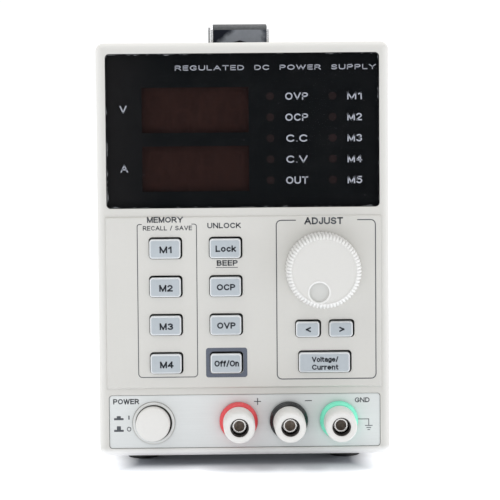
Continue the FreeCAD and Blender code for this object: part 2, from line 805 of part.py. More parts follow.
def chassis():
    """The folded tray with low side walls, and the upright frame that the bezel screws to."""
    piece = Piece("chassis_tray")
    inner = f"{HALF} - sheet - 0.1"
    front, rear = back("bezel_depth - 2"), back("case_depth - sheet")
    deck = f"{FLOOR} + sheet"
    middle, length = f"({front} + {rear}) / 2", f"{rear} - ({front})"
    piece.pad("top", FLOOR, deck, rectangle("0", middle, f"2 * ({inner})", length))
    for side in ("-1", "1"):
        piece.pad(
            "front", front, rear,
            rectangle(f"{side} * ({inner} - sheet / 2)", up("cover_gap + 9"), "sheet", "17.9"),
        )
    frame_tall = "bezel_height - 2 * cover_gap - 2.2"
    piece.pad(
        "front", front, back("bezel_depth - 1"),
        rounded("0", CENTRE, f"2 * ({inner})", frame_tall, "sheet_corner"),
    )
    piece.cut(
        "front", front, back("bezel_depth - 1"),
        rectangle("0", up("85.5"), "86", "117"),
        rectangle("power_across", up("power_up"), "15.2", "14.2"),
        *[circle(post_x(i), up("plate_mid"), "7") for i in range(len(POSTS))],
        *[circle(x, up(z), "1.6") for x, z in FRAME_SCREWS],
    )
    piece.pad(
        "front", back("case_depth - 2 * sheet"), rear,
        rectangle("0", up("cover_gap + 7"), f"2 * ({inner})", "13"),
    )
    piece.cut(
        "front", back("case_depth - 2 * sheet"), rear,
        *[circle(x, up(z), "screw_hole") for x, z in REAR_SCREWS],
    )
    piece.cut(
        "side", *THROUGH,
        *[circle(back(depth), up(SIDE_SCREW_UP), "screw_hole") for depth in SIDE_SCREWS],
    )
    piece.cut(
        "top", FLOOR, deck,
        *[circle(side, back(depth), "screw_hole") for side, depth in FEET],
    )
    piece.pad(
        "top", deck, up("deck_board_up"),
        *[circle(x, back(depth), "2.5") for x, depth in BOARD_STUDS],
    )


def rear_panel():
    piece = Piece("rear_panel")
    inner, outer = back("case_depth - sheet"), back("case_depth")
    panel_mid, panel_tall = up("bezel_height / 2 - 0.05"), "bezel_height - 4.1"
    piece.pad(
        "front", inner, outer,
        rounded("0", panel_mid, f"2 * ({HALF} - sheet - 0.1)", panel_tall, "sheet_corner"),
    )
    corners = [
        circle(f"{a} * fan_pitch / 2", up(f"fan_up + {b} * fan_pitch / 2"), "2.2")
        for a, b in CORNERS
    ]
    piece.cut(
        "front", inner, outer,
        circle("0", up("fan_up"), "fan_bore"),
        *corners,
        rectangle("inlet_across", up("inlet_up"), "28.4", "34.4"),
        rectangle("port_across", up("selector_up"), "23.4", "11.4"),
        rectangle("port_across", up("serial_up"), "20.4", "11.4"),
        rectangle("port_across", up("usb_up"), "12.4", "11.4"),
        *[circle(x, up(z), "1.6") for x, z in REAR_SCREWS],
    )


def screws():
    head, shank, length, tall = 2.8, 1.5, 6.0, 1.7
    screw = Part.makeCylinder(head, tall).fuse(
        Part.makeCylinder(shank, length, Vector(0, 0, -length))
    )
    rounded_edges = [e for e in screw.Edges if abs(e.BoundBox.ZMin - tall) < 1e-6]
    screw = screw.makeFillet(0.7, rounded_edges)
    slot = Part.makeBox(3.6, 0.7, 1.0, Vector(-1.8, -0.35, tall - 0.8))
    across = Part.makeBox(0.7, 3.6, 1.0, Vector(-0.35, -1.8, tall - 0.8))
    screw = screw.cut(slot.fuse(across)).removeSplitter()
    side = number(HALF)
    places = []
    for depth in SIDE_SCREWS:
        places.append(spot(side, back(depth), up(SIDE_SCREW_UP), (0, 1, 0), 90))
        places.append(spot(-side, back(depth), up(SIDE_SCREW_UP), (0, 1, 0), -90))
    for x, z in REAR_SCREWS:
        places.append(spot(x, back("case_depth"), up(z), (1, 0, 0), -90))
    for x, z in BOARD_SCREWS:
        places.append(spot(x, back("board_front + board_thick"), up(z), (1, 0, 0), -90))
    for x, z in FRAME_SCREWS:
        places.append(spot(x, back("bezel_depth - 1"), up(z), (1, 0, 0), -90))
    for x, depth in FEET:
        places.append(spot(x, back(depth), "foot_recess", (1, 0, 0), 180))
    group("case_screws", screw, places)

    strap_screw = Part.makeCylinder(4.0, 1.6).fuse(
        Part.makeCylinder(2.5, 10.0, Vector(0, 0, -10.0))
    )
    deck = "bezel_height - cover_gap + 0.6 + 2.2 + 0.1"
    on_top = [spot("0", back(depth), up(deck)) for depth in handle_screw_depths()]
    group("handle_screws", strap_screw, on_top)


def feet():
    piece = Piece("rubber_feet")
    places = [(x, back(depth)) for x, depth in FEET]
    piece.pad("top", "0", FLOOR, *[circle(x, y, "foot_radius") for x, y in places])
    piece.soften("Fillet", "0.8", at_height("0"))
    piece.cut("top", "0", "foot_recess", *[circle(x, y, "3.1") for x, y in places])
    piece.cut("top", "foot_recess", FLOOR, *[circle(x, y, "1.55") for x, y in places])


def from_end(end, inward, depth):
    """A depth measured from one end of the handle towards the other."""
    return back(f"{end} + {inward} * ({depth})")


def handle():
    clips = Piece("handle_clips")
    last = "handle_front + handle_span"
    # each clip: where it ends outside, and the direction along Y towards the other clip
    ends = (("handle_front", "1"), (last, "-1"))
    for end in ends:
        clips.pad(
            "side", "-clip_width / 2", "clip_width / 2",
            outline(
                (from_end(*end, "0"), ROOF),
                (from_end(*end, "0"), f"{ROOF} + clip_nose"),
                (from_end(*end, "5"), f"{ROOF} + clip_tall - 0.4"),
                (from_end(*end, "9"), f"{ROOF} + clip_tall"),
                (from_end(*end, "clip_long"), f"{ROOF} + clip_tall"),
                (from_end(*end, "clip_long"), ROOF),
            ),
        )
    clips.soften("Fillet", "1.3", upper_side_edges)
    clip_wall = "1"
    hollow_top = f"{ROOF} + clip_tall - 1.2"
    for end in ends:
        clips.cut(
            "side", f"{clip_wall} - clip_width / 2", f"clip_width / 2 - {clip_wall}",
            outline(
                (from_end(*end, clip_wall), ROOF),
                (from_end(*end, clip_wall), f"{ROOF} + clip_nose - 0.8"),
                (from_end(*end, "6"), hollow_top),
                (from_end(*end, "clip_long"), hollow_top),
                (from_end(*end, "clip_long"), ROOF),
            ),
        )

    strap = Piece("handle_strap")
    lift, flat, rise, ramp = "0.6", "2.2", "3.1", "24"
    start, end = "handle_front + 2", f"{last} - 2"
    stations = [
        (start, lift, flat),
        (f"{start} + clip_long", lift, flat),
        (f"{start} + clip_long + {ramp}", rise, "strap_thick"),
        (f"{end} - clip_long - {ramp}", rise, "strap_thick"),
        (f"{end} - clip_long", lift, flat),
        (end, lift, flat),
    ]
    under = [(back(depth), f"{ROOF} + {low}") for depth, low, _ in stations]
    over = [(back(depth), f"{ROOF} + {low} + {thick}") for depth, low, thick in stations]
    strap.pad("side", "-strap_width / 2", "strap_width / 2", outline(*under, *reversed(over)))
    strap.cut(
        "top", f"{ROOF}", f"{ROOF} + 4",
        *[rounded("0", back(depth), "5.4", "14", "2.6") for depth in handle_screw_depths()],
    )


# ---------------------------------------------------------------- inside


def transformer():
    place = ("0", back("84"), f"{FLOOR} + sheet + core_up")
    core = Piece("transformer_core", *place)
    sides = ("-core_thick / 2", "core_thick / 2")
    core.pad("side", *sides, rectangle("0", "0", "core_width", "core_height"))
    core.cut(
        "side", *sides,
        *[rectangle(y, "0", "core_width / 6", "core_height - 32") for y in ("-24", "24")],
    )

    coil = Piece("transformer_coil", *place)
    coil.pad("top", "-23.8", "23.8", rounded("0", "0", "80", "62", "6"))
    coil.cut("top", "-23.8", "23.8", rectangle("0", "0", "core_thick + 0.2", "32.2"))

    frame = Piece("transformer_frame", *place)
    band = ("-core_thick / 2 - 0.2", "core_thick / 2 + 0.2")
    frame.pad("side", *band, rectangle("0", "0.1", "core_width + 3", "core_height + 3.2"))
    frame.cut("side", *band, rectangle("0", "-1.35", "core_width + 0.2", "core_height + 3"))
    frame.pad(
        "top", "-core_up", "-core_up + 1.3",
        *[rectangle(x, "0", "23.6", "core_width + 3") for x in ("-36", "36")],
    )


def wire(path, radius):
    """A round lead through points given as across, depth and height above the bezel's bottom."""
    points = [Vector(number(x), number(back(y)), number(up(z))) for x, y, z in path]
    solids = [Part.makeSphere(radius, point) for point in points[1:-1]]
    for start, end in zip(points, points[1:]):
        run = end - start
        solids.append(Part.makeCylinder(radius, run.Length, start, run))
    return solids[0].fuse(solids[1:]).removeSplitter()


def electronics():
    board_top = up("deck_board_up + board_thick")
    board = Piece("main_board", "0", back("208"), up("deck_board_up"))
    board.pad("top", "0", "board_thick", rectangle("0", "0", "deck_board_width", "deck_board_long"))

    cans = Piece("filter_capacitors", "0", back("158"), board_top)
    cans.pad("top", "0", "can_tall", *[circle(x, "0", "can_radius") for x in ("-23", "23")])
    cans.soften("Fillet", "1.5", at_height("can_tall"))

    sink = Piece("heatsink", "0", back("184"), board_top)
    deck_low, deck_high, fin_high, fin_pitch = 58, 63, 118, 7
    deck_mid, deck_thick = (deck_low + deck_high) / 2, deck_high - deck_low
    sink.pad("front", "0", "sink_long", rectangle("0", deck_mid, "88", deck_thick))
    legs = [rectangle(x, deck_low / 2, "3", deck_low) for x in ("-42.5", "42.5")]
    for near, far in (("0", "10"), ("sink_long - 10", "sink_long")):
        sink.pad("front", near, far, *legs)
    fin_mid, fin_tall = (deck_high + fin_high) / 2, fin_high - deck_high
    fins = [rectangle(fin_pitch * i, fin_mid, "2", fin_tall) for i in range(-6, 7)]
    sink.pad("front", "0", "sink_long", *fins)

    transistors = Piece("power_transistors", "0", back("184"), board_top)
    transistors.pad(
        "top", f"{deck_low} - 5", deck_low,
        *[rectangle(x, y, "16", "21") for x in ("-20", "20") for y in ("24", "56")],
    )

    leads = []
    lead_side, lead_radius = "45.3", 1.2
    for i in range(len(POSTS)):
        level = f"24 - 3.5 * {i}"
        landing = f"144 + 5 * {i}"
        path = [
            (post_x(i), "16 + plate_sink", "plate_mid"),
            (post_x(i), "24", "plate_mid"),
            (lead_side, "32", level),
            (lead_side, landing, level),
            (lead_side, landing, "deck_board_up + board_thick"),
        ]
        leads.append(wire(path, lead_radius))
    feature = doc.addObject("Part::Feature", "output_leads")
    feature.Label = "output_leads"
    feature.Shape = Part.makeCompound(leads)
    subparts.append(feature)


# ---------------------------------------------------------------- rear


def fan():
    place = ("0", back("case_depth - sheet - fan_thick"), up("fan_up"))
    frame = Piece("fan_frame", *place)
    frame.pad("front", "0", "fan_thick", rounded("0", "0", "fan_size", "fan_size", "4"))
    frame.cut("front", "0", "fan_thick", circle("0", "0", "fan_bore"))
    corners = [
        circle(f"{a} * fan_pitch / 2", f"{b} * fan_pitch / 2", "2.1") for a, b in CORNERS
    ]
    frame.cut("front", "0", "fan_thick", *corners)
    frame.pad("front", "fan_thick - 4", "fan_thick", circle("0", "0", "17"))
    arm = frame.pad("front", "fan_thick - 4", "fan_thick", rectangle("0", "27.2", "4", "22"))
    frame.ring(arm, "Y", 4)
    frame.cut("front", "fan_thick - 4", "fan_thick - 1", circle("0", "0", "1.55"))

    rotor = Piece("fan_rotor", *place)
    rotor.pad("front", "1", "fan_thick - 5", circle("0", "0", "17"))
    rotor.pad("front", "fan_thick - 5", "fan_thick - 1.5", circle("0", "0", "1.5"))
    blade = rotor.pad(
        "top", "16", "34.8",
        outline(("-11", "3"), ("-9", "2.4"), ("11", "18.4"), ("9.4", "19")),
    )
    rotor.ring(blade, "Y", 7)


def fan_guard():
    wire, plane = 0.9, 2.7
    along = Vector(0, 1, 0)
    rings = [
        Part.makeTorus(radius, wire, Vector(0, plane, 0), along)
        for radius in (8.0, 15.5, 23.0, 30.5, 37.0)
    ]
    reach = number("fan_pitch / 2")
    arms = []
    for a, b in ((1, 1), (1, -1)):
        run = Vector(a * reach, 0, b * reach)
        arms.append(
            Part.makeCylinder(wire, 2 * run.Length, Vector(0, plane - 0.5, 0) - run, run)
        )
    lugs, holes = [], []
    for a, b in CORNERS:
        lugs.append(Part.makeCylinder(3.6, 3.2, Vector(a * reach, 0.05, b * reach), along))
        holes.append(Part.makeCylinder(2.1, 8, Vector(a * reach, -1, b * reach), along))
    guard = rings[0].fuse(rings[1:] + arms + lugs).cut(holes)
    feature = doc.addObject("Part::Feature", "fan_guard")
    feature.Label = "fan_guard"
    feature.Shape = guard
    feature.Placement = spot("0", back("case_depth"), up("fan_up"))
    subparts.append(feature)

    screw = Part.makeCylinder(3.4, 0.7).fuse(Part.makeCylinder(1.9, 30.0, Vector(0, 0, -30.0)))
    places = [
        spot(
            f"{a} * fan_pitch / 2", back("case_depth + 3.25"),
            up(f"fan_up + {b} * fan_pitch / 2"), (1, 0, 0), -90,
        )
        for a, b in CORNERS
    ]
    group("fan_screws", screw, places)


def mains_inlet():
    place = ("inlet_across", back("case_depth"), up("inlet_up"))
    inlet = Piece("mains_inlet", *place)
    inlet.pad("front", "0", "2.4", rounded("0", "0", "32", "40", "2"))
    inlet.pad("front", "-27", "0", rectangle("0", "0", "28", "34"))
    inlet.cut(
        "front", "-14", "2.4",
        outline(
            ("-12.2", "3.4"), ("-12.2", "-9.4"), ("-8.2", "-13.4"),
            ("8.2", "-13.4"), ("12.2", "-9.4"), ("12.2", "3.4"),
        ),
    )
    inlet.cut("front", "-26", "2.4", rectangle("0", "10.6", "22", "9.6"))
    pins = [("-7", "-2"), ("7", "-2"), ("0", "-7.6")]
    inlet.pad("front", "-14.5", "-2", *[rectangle(x, z, "2", "4") for x, z in pins])

    drawer = Piece("fuse_drawer", *place)
    drawer.pad("front", "-22", "3.2", rectangle("0", "10.6", "21.6", "9.2"))
    drawer.cut("front", "1.8", "3.2", rectangle("0", "6.9", "9", "2.4"))
    drawer.cut("top", "12", "15.3", rectangle("0", "-11", "7", "20"))


def rear_controls():
    place = ("port_across", back("case_depth"), up("selector_up"))
    selector = Piece("voltage_selector", *place)
    selector.pad("front", "0", "1", rounded("0", "0", "28", "14.4", "1"))
    selector.pad("front", "-10", "0", rectangle("0", "0", "23", "11"))
    selector.cut("front", "-4", "1", rectangle("0", "0", "17", "6.4"))

    slider = Piece("selector_slider", *place)
    slider.pad("front", "-3.8", "0.4", rectangle("-3.4", "0", "9.6", "6.1"))
    slider.cut("front", "-1", "0.4", rectangle("-3.4", "0", "1.4", "5"))

    card = Piece("interface_card", "port_across", back("case_depth"), "0")
    serial, usb = up("serial_up"), up("usb_up")
    card.pad("front", "-13.6", "-12", rectangle("0", up("27"), "32", "28"))
    card.pad("front", "-12", "0", rectangle("0", serial, "20", "11"))
    card.pad("front", "-12", "0", rectangle("0", usb, "12", "11"))
    card.pad("front", "0", "0.9", rectangle("0", serial, "30.8", "12.4"))
    card.pad(
        "front", "0.9", "3.4",
        outline(
            ("-9", f"{serial} + 4.4"), ("-7.6", f"{serial} - 4.4"),
            ("7.6", f"{serial} - 4.4"), ("9", f"{serial} + 4.4"),
        ),
    )
    posts = ("-12.5", "12.5")
    card.pad("front", "0.9", "3.8", *[circle(x, serial, "2.4") for x in posts])
    card.cut("front", "0.9", "3.8", *[circle(x, serial, "1.4") for x in posts])
    for row, count in (("1.4", 5), ("-1.4", 4)):
        pins = [2.74 * (i - (count - 1) / 2) for i in range(count)]
        card.cut("front", "-2", "3.4", *[circle(x, f"{serial} + {row}", "0.55") for x in pins])
    card.cut("front", "-9", "0", rectangle("0", usb, "8.6", "7.8"))
    card.pad("front", "-9.2", "-1", rectangle("0", usb, "5.6", "3.2"))


def build():
    front_bezel()
    display_parts()
    control_board()
    for name, across, height, width, tall in KEYS:
        key(name, across, height, width, tall)
    knob_parts()
    power_parts()
    for index, colour in enumerate(POSTS):
        terminal(index, colour)
    terminal_metal()
    top_cover()
    chassis()
    rear_panel()
    screws()
    feet()
    handle()
    transformer()
    electronics()
    fan()
    fan_guard()
    mains_inlet()
    rear_controls()


def export():
    """Checks every object, then writes one STEP file per sub-part."""
    doc.recompute()
    failed = [
        o.Name for o in doc.Objects if "Invalid" in o.State or "Error" in o.State
    ]
    if failed:
        sys.exit(f"failed objects: {failed}")
    os.makedirs("parts", exist_ok=True)
    for stale in os.listdir("parts"):
        if stale.endswith(".step"):
            os.remove(os.path.join("parts", stale))
    for part in subparts:
        if part.Shape.isNull() or not part.Shape.isValid():
            sys.exit(f"{part.Label} has no valid shape")
        part.Shape.exportStep(f"parts/{part.Label}.step")
    print(len(subparts), "sub-parts written")


build()
export()
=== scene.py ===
import json
import math

import bmesh
import bpy
from mathutils import Matrix, Vector


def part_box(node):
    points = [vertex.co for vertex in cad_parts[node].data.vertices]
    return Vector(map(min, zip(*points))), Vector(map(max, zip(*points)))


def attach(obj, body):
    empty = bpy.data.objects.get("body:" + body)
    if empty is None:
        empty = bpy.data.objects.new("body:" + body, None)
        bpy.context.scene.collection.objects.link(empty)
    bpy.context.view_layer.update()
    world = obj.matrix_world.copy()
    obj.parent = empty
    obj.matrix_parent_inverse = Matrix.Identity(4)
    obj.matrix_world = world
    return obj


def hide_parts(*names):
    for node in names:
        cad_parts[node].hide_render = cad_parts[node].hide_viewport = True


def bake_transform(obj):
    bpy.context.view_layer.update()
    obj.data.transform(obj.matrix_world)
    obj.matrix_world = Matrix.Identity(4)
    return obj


# Looks of the bench power supply, built around its CAD frame. Helpers take millimetres:
# across from the middle (+X), up from the bezel's lower edge (+Z), and depth behind the
# bezel's rim (+Y). Blender holds metres.

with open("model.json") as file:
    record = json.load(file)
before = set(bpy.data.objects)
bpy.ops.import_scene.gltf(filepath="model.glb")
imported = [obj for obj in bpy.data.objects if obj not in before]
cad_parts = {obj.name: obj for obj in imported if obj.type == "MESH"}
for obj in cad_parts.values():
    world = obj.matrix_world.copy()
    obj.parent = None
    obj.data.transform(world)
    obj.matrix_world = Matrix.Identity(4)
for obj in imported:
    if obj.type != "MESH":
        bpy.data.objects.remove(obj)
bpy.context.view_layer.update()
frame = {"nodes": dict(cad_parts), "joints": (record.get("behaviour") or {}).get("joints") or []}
nodes = frame["nodes"]

MM = 0.001
PANEL = -0.6
BEZEL_LOW, BEZEL_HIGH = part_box("front_bezel")
RIM = BEZEL_LOW.y - PANEL * MM


def at(across, up, depth):
    return Vector((across * MM, RIM + depth * MM, BEZEL_LOW.z + up * MM))


class Extent:
    """A node's box in the helpers' millimetres."""

    def __init__(self, node):
        low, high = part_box(node)
        self.wide, self.deep, self.tall = (high - low) / MM
        self.front, self.back = (low.y - RIM) / MM, (high.y - RIM) / MM
        self.foot, self.top = (low.z - BEZEL_LOW.z) / MM, (high.z - BEZEL_LOW.z) / MM
        self.middle = ((low.x + high.x) / 2 / MM, (self.foot + self.top) / 2)
        self.across, self.up = self.middle


GLASS, DIAL = Extent("display_window"), Extent("adjust_knob")
WINDOW, PLATE = GLASS.front, Extent("terminal_plate").front
DIMPLE = (DIAL.across - 1.9, DIAL.up - 7.7)
LAMP_LEVELS = [135.75 - 7.9 * row for row in range(5)]
DISPLAY_LEVELS = (130.75, 108.65)
INK = 0.03


# ---------------- materials


class Wiring:
    """A node tree that grows by one node at a time."""

    def __init__(self, tree):
        self.tree = tree

    def feed(self, socket, value):
        """Links a socket, or sets its value."""
        if isinstance(value, bpy.types.NodeSocket):
            self.tree.links.new(value, socket)
        elif value is not None:
            socket.default_value = value

    def node(self, kind, sockets=None, **settings):
        """Adds a shader node and feeds its sockets, by name or number."""
        made = self.tree.nodes.new("ShaderNode" + kind)
        for key, value in settings.items():
            setattr(made, key, value)
        for key, value in (sockets or {}).items():
            self.feed(made.inputs[key], value)
        return made

    def math(self, operation, first, second=0.0):
        return self.node("Math", {0: first, 1: second}, operation=operation).outputs[0]

    def steps(self, factor, low, high, start=0.0, end=1.0):
        """Maps factor so that low becomes start and high becomes end."""
        sockets = dict(enumerate((factor, low, high, start, end)))
        return self.node("MapRange", sockets).outputs[0]


class Finish(Wiring):
    """A procedural material. Each method adds a layer of nodes to one Principled shader."""

    def __init__(self, name, colour, roughness, metallic=0.0, specular=0.5):
        self.material = bpy.data.materials.new(name)
        self.material.use_nodes = True
        super().__init__(self.material.node_tree)
        self.shader = self.tree.nodes["Principled BSDF"]
        self.place = self.node("TexCoord").outputs["Object"]
        self.colour, self.roughness, self.normal = (*colour, 1.0), roughness, None
        self.feed(self.shader.inputs["Metallic"], metallic)
        self.feed(self.shader.inputs["Specular IOR Level"], specular)

    def mix(self, factor, first, second, blend="MIX"):
        sockets = {0: factor, 6: first, 7: second}
        return self.node("Mix", sockets, data_type="RGBA", blend_type=blend).outputs[2]

    def axis(self, letter):
        """One coordinate of the shaded point, in metres."""
        return self.node("SeparateXYZ", {0: self.place}).outputs[letter]

    def compare(self, operation, first, second):
        """One number from two vectors."""
        sockets = {0: first, 1: second}
        return self.node("VectorMath", sockets, operation=operation).outputs["Value"]

    def agrees(self, direction):
        """How far the true surface normal points along a direction, at most 1."""
        true = self.node("NewGeometry").outputs["Normal"]
        return self.compare("DOT_PRODUCT", true, direction)

    def texture(self, kind, size, stretch=(1, 1, 1), sockets=None, **settings):
        """A texture whose features are about size millimetres across."""
        place = self.place
        if stretch != (1, 1, 1):
            place = self.node("Mapping", {"Vector": place, "Scale": stretch}).outputs[0]
        sockets = {"Vector": place, "Scale": 1 / (size * MM), **(sockets or {})}
        return self.node("Tex" + kind, sockets, **settings)

    def noise(self, size, detail=3.0, stretch=(1, 1, 1)):
        more = {"Detail": detail, "Roughness": 0.55}
        return self.texture("Noise", size, stretch, more).outputs[0]

    def cells(self, size, feature="F1"):
        return self.texture("Voronoi", size, feature=feature).outputs[0]

    def stripes(self, size, direction, distortion=0.0):
        waves_per_stripe = 0.314
        more = {"Distortion": distortion, "Detail": 0.0}
        size /= waves_per_stripe
        return self.texture("Wave", size, sockets=more, bands_direction=direction).outputs[1]

    def vary(self, size, amount, detail=3.0, stretch=(1, 1, 1)):
        """Lightens and darkens the colour in soft blotches."""
        blotches = self.steps(self.noise(size, detail, stretch), 0.3, 0.7)
        low, high = ((level, level, level, 1) for level in (1 - amount, 1 + amount))
        self.colour = self.mix(1.0, self.colour, self.mix(blotches, low, high), "MULTIPLY")
        return self

    def tint(self, mask, colour, amount=1.0):
        self.colour = self.mix(self.math("MULTIPLY", mask, amount), self.colour, (*colour, 1))
        return self

    def relief(self, height, depth):
        """Bumps the surface by depth millimetres where height goes from 0 to 1."""
        sockets = {"Strength": 1.0, "Distance": depth * MM, "Height": height, "Normal": self.normal}
        self.normal = self.node("Bump", sockets).outputs[0]
        return self

    def sheen_spots(self, size, amount, detail=2.0, stretch=(1, 1, 1)):
        """Makes the roughness wander by amount either way."""
        wander = self.math("SUBTRACT", self.noise(size, detail, stretch), 0.5)
        self.roughness = self.math("ADD", self.math("MULTIPLY", wander, 2 * amount), self.roughness)
        return self

    def edges(self, colour, amount, radius=0.35):
        """Tints the colour along sharp edges, found by comparing true and rounded normals: wear, and
        on the keys a painted highlight.
        """
        self.normal = self.node("Bevel", {"Radius": radius * MM}, samples=4).outputs[0]
        mask = self.steps(self.agrees(self.normal), 0.97, 0.75)
        broken = self.math("MULTIPLY", mask, self.steps(self.noise(1.5), 0.3, 0.7))
        return self.tint(broken, colour, amount)

    def paint_crevice_shade(self, colour, amount, reach=3.0):
        """Paints shade into corners and crevices, darkening wherever ambient occlusion finds them."""
        shade = self.node("AmbientOcclusion", {"Distance": reach * MM}, samples=6)
        return self.tint(self.steps(shade.outputs["AO"], 0.95, 0.35), colour, amount)

    def rolled(self, colour, amount):
        """Paints a highlight on whatever turns away from the front."""
        return self.tint(self.steps(self.agrees((0, -1, 0)), 0.985, 0.75), colour, amount)

    def ring(self, middle, inner, outer, colour, amount, soft=0.15):
        """Tints the band between two distances from a place given as (across, up)."""
        flat = self.node("CombineXYZ", {letter: self.axis(letter) for letter in "XZ"})
        centre = at(*middle, 0)
        reach = self.compare("DISTANCE", flat.outputs[0], (centre.x, 0, centre.z))
        within = self.steps(reach, (outer + soft) * MM, outer * MM)
        if inner:
            beyond = self.steps(reach, (inner - soft) * MM, inner * MM)
            within = self.math("MULTIPLY", within, beyond)
        return self.tint(within, colour, amount)

    def past_walls(self):
        """How far a point lies outside the bezel's outline; less than nothing within it."""
        middle = (BEZEL_LOW.z + BEZEL_HIGH.z) / 2
        level = self.math("ABSOLUTE", self.math("SUBTRACT", self.axis("Z"), middle))
        aside = self.math("SUBTRACT", self.math("ABSOLUTE", self.axis("X")), BEZEL_HIGH.x)
        return self.math("MAXIMUM", aside, self.math("SUBTRACT", level, middle - BEZEL_LOW.z))

    def paint_gap_shade(self):
        """Paints black shade over whatever lies behind the rim and inside the bezel's outer walls,
        such as the gaps round the keys.
        """
        inside = self.math("LESS_THAN", self.past_walls(), -2.6 * MM)
        deep = self.steps(self.axis("Y"), RIM + 0.2 * MM, RIM + 0.5 * MM)
        return self.tint(self.math("MULTIPLY", inside, deep), (0.012, 0.013, 0.015))

    def done(self):
        for name, value in (
            ("Base Color", self.colour), ("Roughness", self.roughness), ("Normal", self.normal),
        ):
            self.feed(self.shader.inputs[name], value)
        return self.material


def plastic(name, colour, roughness=0.45, grain=0.35, depth=0.012, mottle=0.02, edge_wear_and_highlight=None):
    """Moulded plastic with a spark-eroded grain, faint mottling and lighter edges: wear, and on the
    keys a painted highlight.
    """
    lighter = tuple(min(1.0, channel * 1.12 + 0.02) for channel in colour)
    made = Finish(name, colour, roughness)
    made.vary(24.0, mottle).vary(1.2, mottle * 0.6)
    made.edges(edge_wear_and_highlight or lighter, 0.5)
    made.relief(made.noise(grain, 2.0), depth)
    return made.sheen_spots(9.0, 0.06)


def metal(name, colour, roughness=0.3, stretch=(1, 1, 1), grain=0.25, depth=0.004, mottle=0.06):
    """Bare or plated metal; stretch draws the grain out into brush lines."""
    made = Finish(name, colour, roughness, metallic=1.0)
    made.vary(14.0, mottle, 4.0).vary(0.6, mottle * 0.6, 2.0, stretch)
    made.edges(tuple(min(1.0, channel * 1.15) for channel in colour), 0.6, 0.25)
    made.relief(made.noise(grain, 2.0, stretch), depth)
    return made.sheen_spots(6.0, 0.08, 3.0, stretch)


def window_finish():
    """Clear tinted acrylic with dust specks and a chipped edge, whitened partly by scratches and
    partly by a painted highlight.
    """
    made = Finish("window_acrylic", (0.004, 0.006, 0.008), 0.06, specular=0.05)
    dust = made.steps(made.cells(2.7), 0.050, 0.025)
    dust = made.math("MULTIPLY", dust, made.math("GREATER_THAN", made.noise(9.0, 1.0), 0.55))
    middle, rims = at(*GLASS.middle, 0), []
    for letter, centre, size in (("X", middle.x, GLASS.wide), ("Z", middle.z, GLASS.tall)):
        aside = made.math("ABSOLUTE", made.math("SUBTRACT", made.axis(letter), centre))
        rims.append(made.math("SUBTRACT", aside, size * MM / 2))
    rim = made.math("MAXIMUM", *rims)
    # The whitened rim stands for scratches and for a painted highlight where the edge catches the
    # light.
    ragged = made.math("MULTIPLY", made.math("SUBTRACT", made.noise(3.5, 4.0), 0.54), 3 * MM)
    edge_wear_and_highlight = made.steps(made.math("ADD", rim, ragged), -0.3 * MM, -0.1 * MM)
    marks = made.math("MAXIMUM", dust, made.math("MULTIPLY", edge_wear_and_highlight, 0.6))
    made.tint(marks, (0.50, 0.51, 0.53)).sheen_spots(16.0, 0.03)
    material = made.done()
    clear = made.node("BsdfTransparent", {"Color": (0.88, 0.84, 0.84, 1)}).outputs[0]
    share = made.math("MULTIPLY", made.steps(marks, 1.0, 0.0), 0.86)
    sockets = {0: share, 1: made.shader.outputs[0], 2: clear}
    blend = made.node("MixShader", sockets).outputs[0]
    made.feed(made.tree.nodes["Material Output"].inputs["Surface"], blend)
    return material


def behind_window(name, colour, lighter, left_level=None):
    """Matt print or lens on the far side of the window, mottled; the last argument, if given, is its
    level towards the left.
    """
    made = Finish(name, colour, 0.6, specular=0.02)
    made.tint(made.steps(made.noise(7.0, 4.0), 0.45, 0.7), lighter, 0.8)
    if left_level:
        made.tint(made.steps(made.axis("X"), -30 * MM, -55 * MM), (left_level, left_level, left_level), 0.7)
    return made.vary(1.1, 0.10).relief(made.noise(0.4, 2.0), 0.01).done()


def display_finish():
    """Dark red filter over a dead display, with faint upright streaks and dust."""
    made = Finish("display_filter", (0.062, 0.0345, 0.0285), 0.35, specular=0.03)
    made.vary(9.0, 0.10).vary(1.2, 0.14, 3.0, (1, 1, 0.25)).vary(0.8, 0.08)
    made.tint(made.steps(made.cells(1.9), 0.10, 0.05), (0.16, 0.08, 0.04), 0.35)
    made.relief(made.stripes(0.5, "Z"), 0.01)
    return made.done()


def steel_paint_finish():
    """Powder coat with orange peel."""
    made = Finish("case_paint", (0.70, 0.69, 0.64), 0.42)
    made.vary(60.0, 0.02).vary(1.6, 0.03)
    # Lighter worn edges, and painted shade in corners and crevices.
    made.edges((0.82, 0.81, 0.77), 0.5).paint_crevice_shade((0.38, 0.36, 0.32), 0.4)
    made.relief(made.noise(1.3, 2.0), 0.05).relief(made.noise(0.35, 1.0), 0.012)
    return made.sheen_spots(20.0, 0.06).done()


def bezel_finish():
    made = plastic("bezel_plastic", (0.665, 0.655, 0.620), 0.42, 0.45, 0.014, 0.012)
    # Painted light: lighter along the outer rim, standing for its lit rounded curve.
    made.tint(made.steps(made.past_walls(), -2.8 * MM, -0.8 * MM), (0.80, 0.79, 0.76), 0.7)
    # Painted light: lighter along the bottom edge.
    foot = made.steps(made.axis("Z"), BEZEL_LOW.z + 3.2 * MM, BEZEL_LOW.z + 1.6 * MM)
    made.tint(foot, (0.95, 0.945, 0.93), 0.9)
    # Painted shade in corners and crevices, and black painted shade inside the openings behind the
    # rim.
    made.paint_crevice_shade((0.42, 0.41, 0.38), 0.40, 1.4)
    return made.paint_gap_shade().done()


def white_finish():
    made = plastic("white_plastic", (0.775, 0.765, 0.738), 0.38, 0.5, 0.010, 0.010)
    # Painted shade in corners and crevices, and black painted shade behind the rim.
    return made.paint_crevice_shade((0.52, 0.51, 0.49), 0.35, 1.2).paint_gap_shade().done()


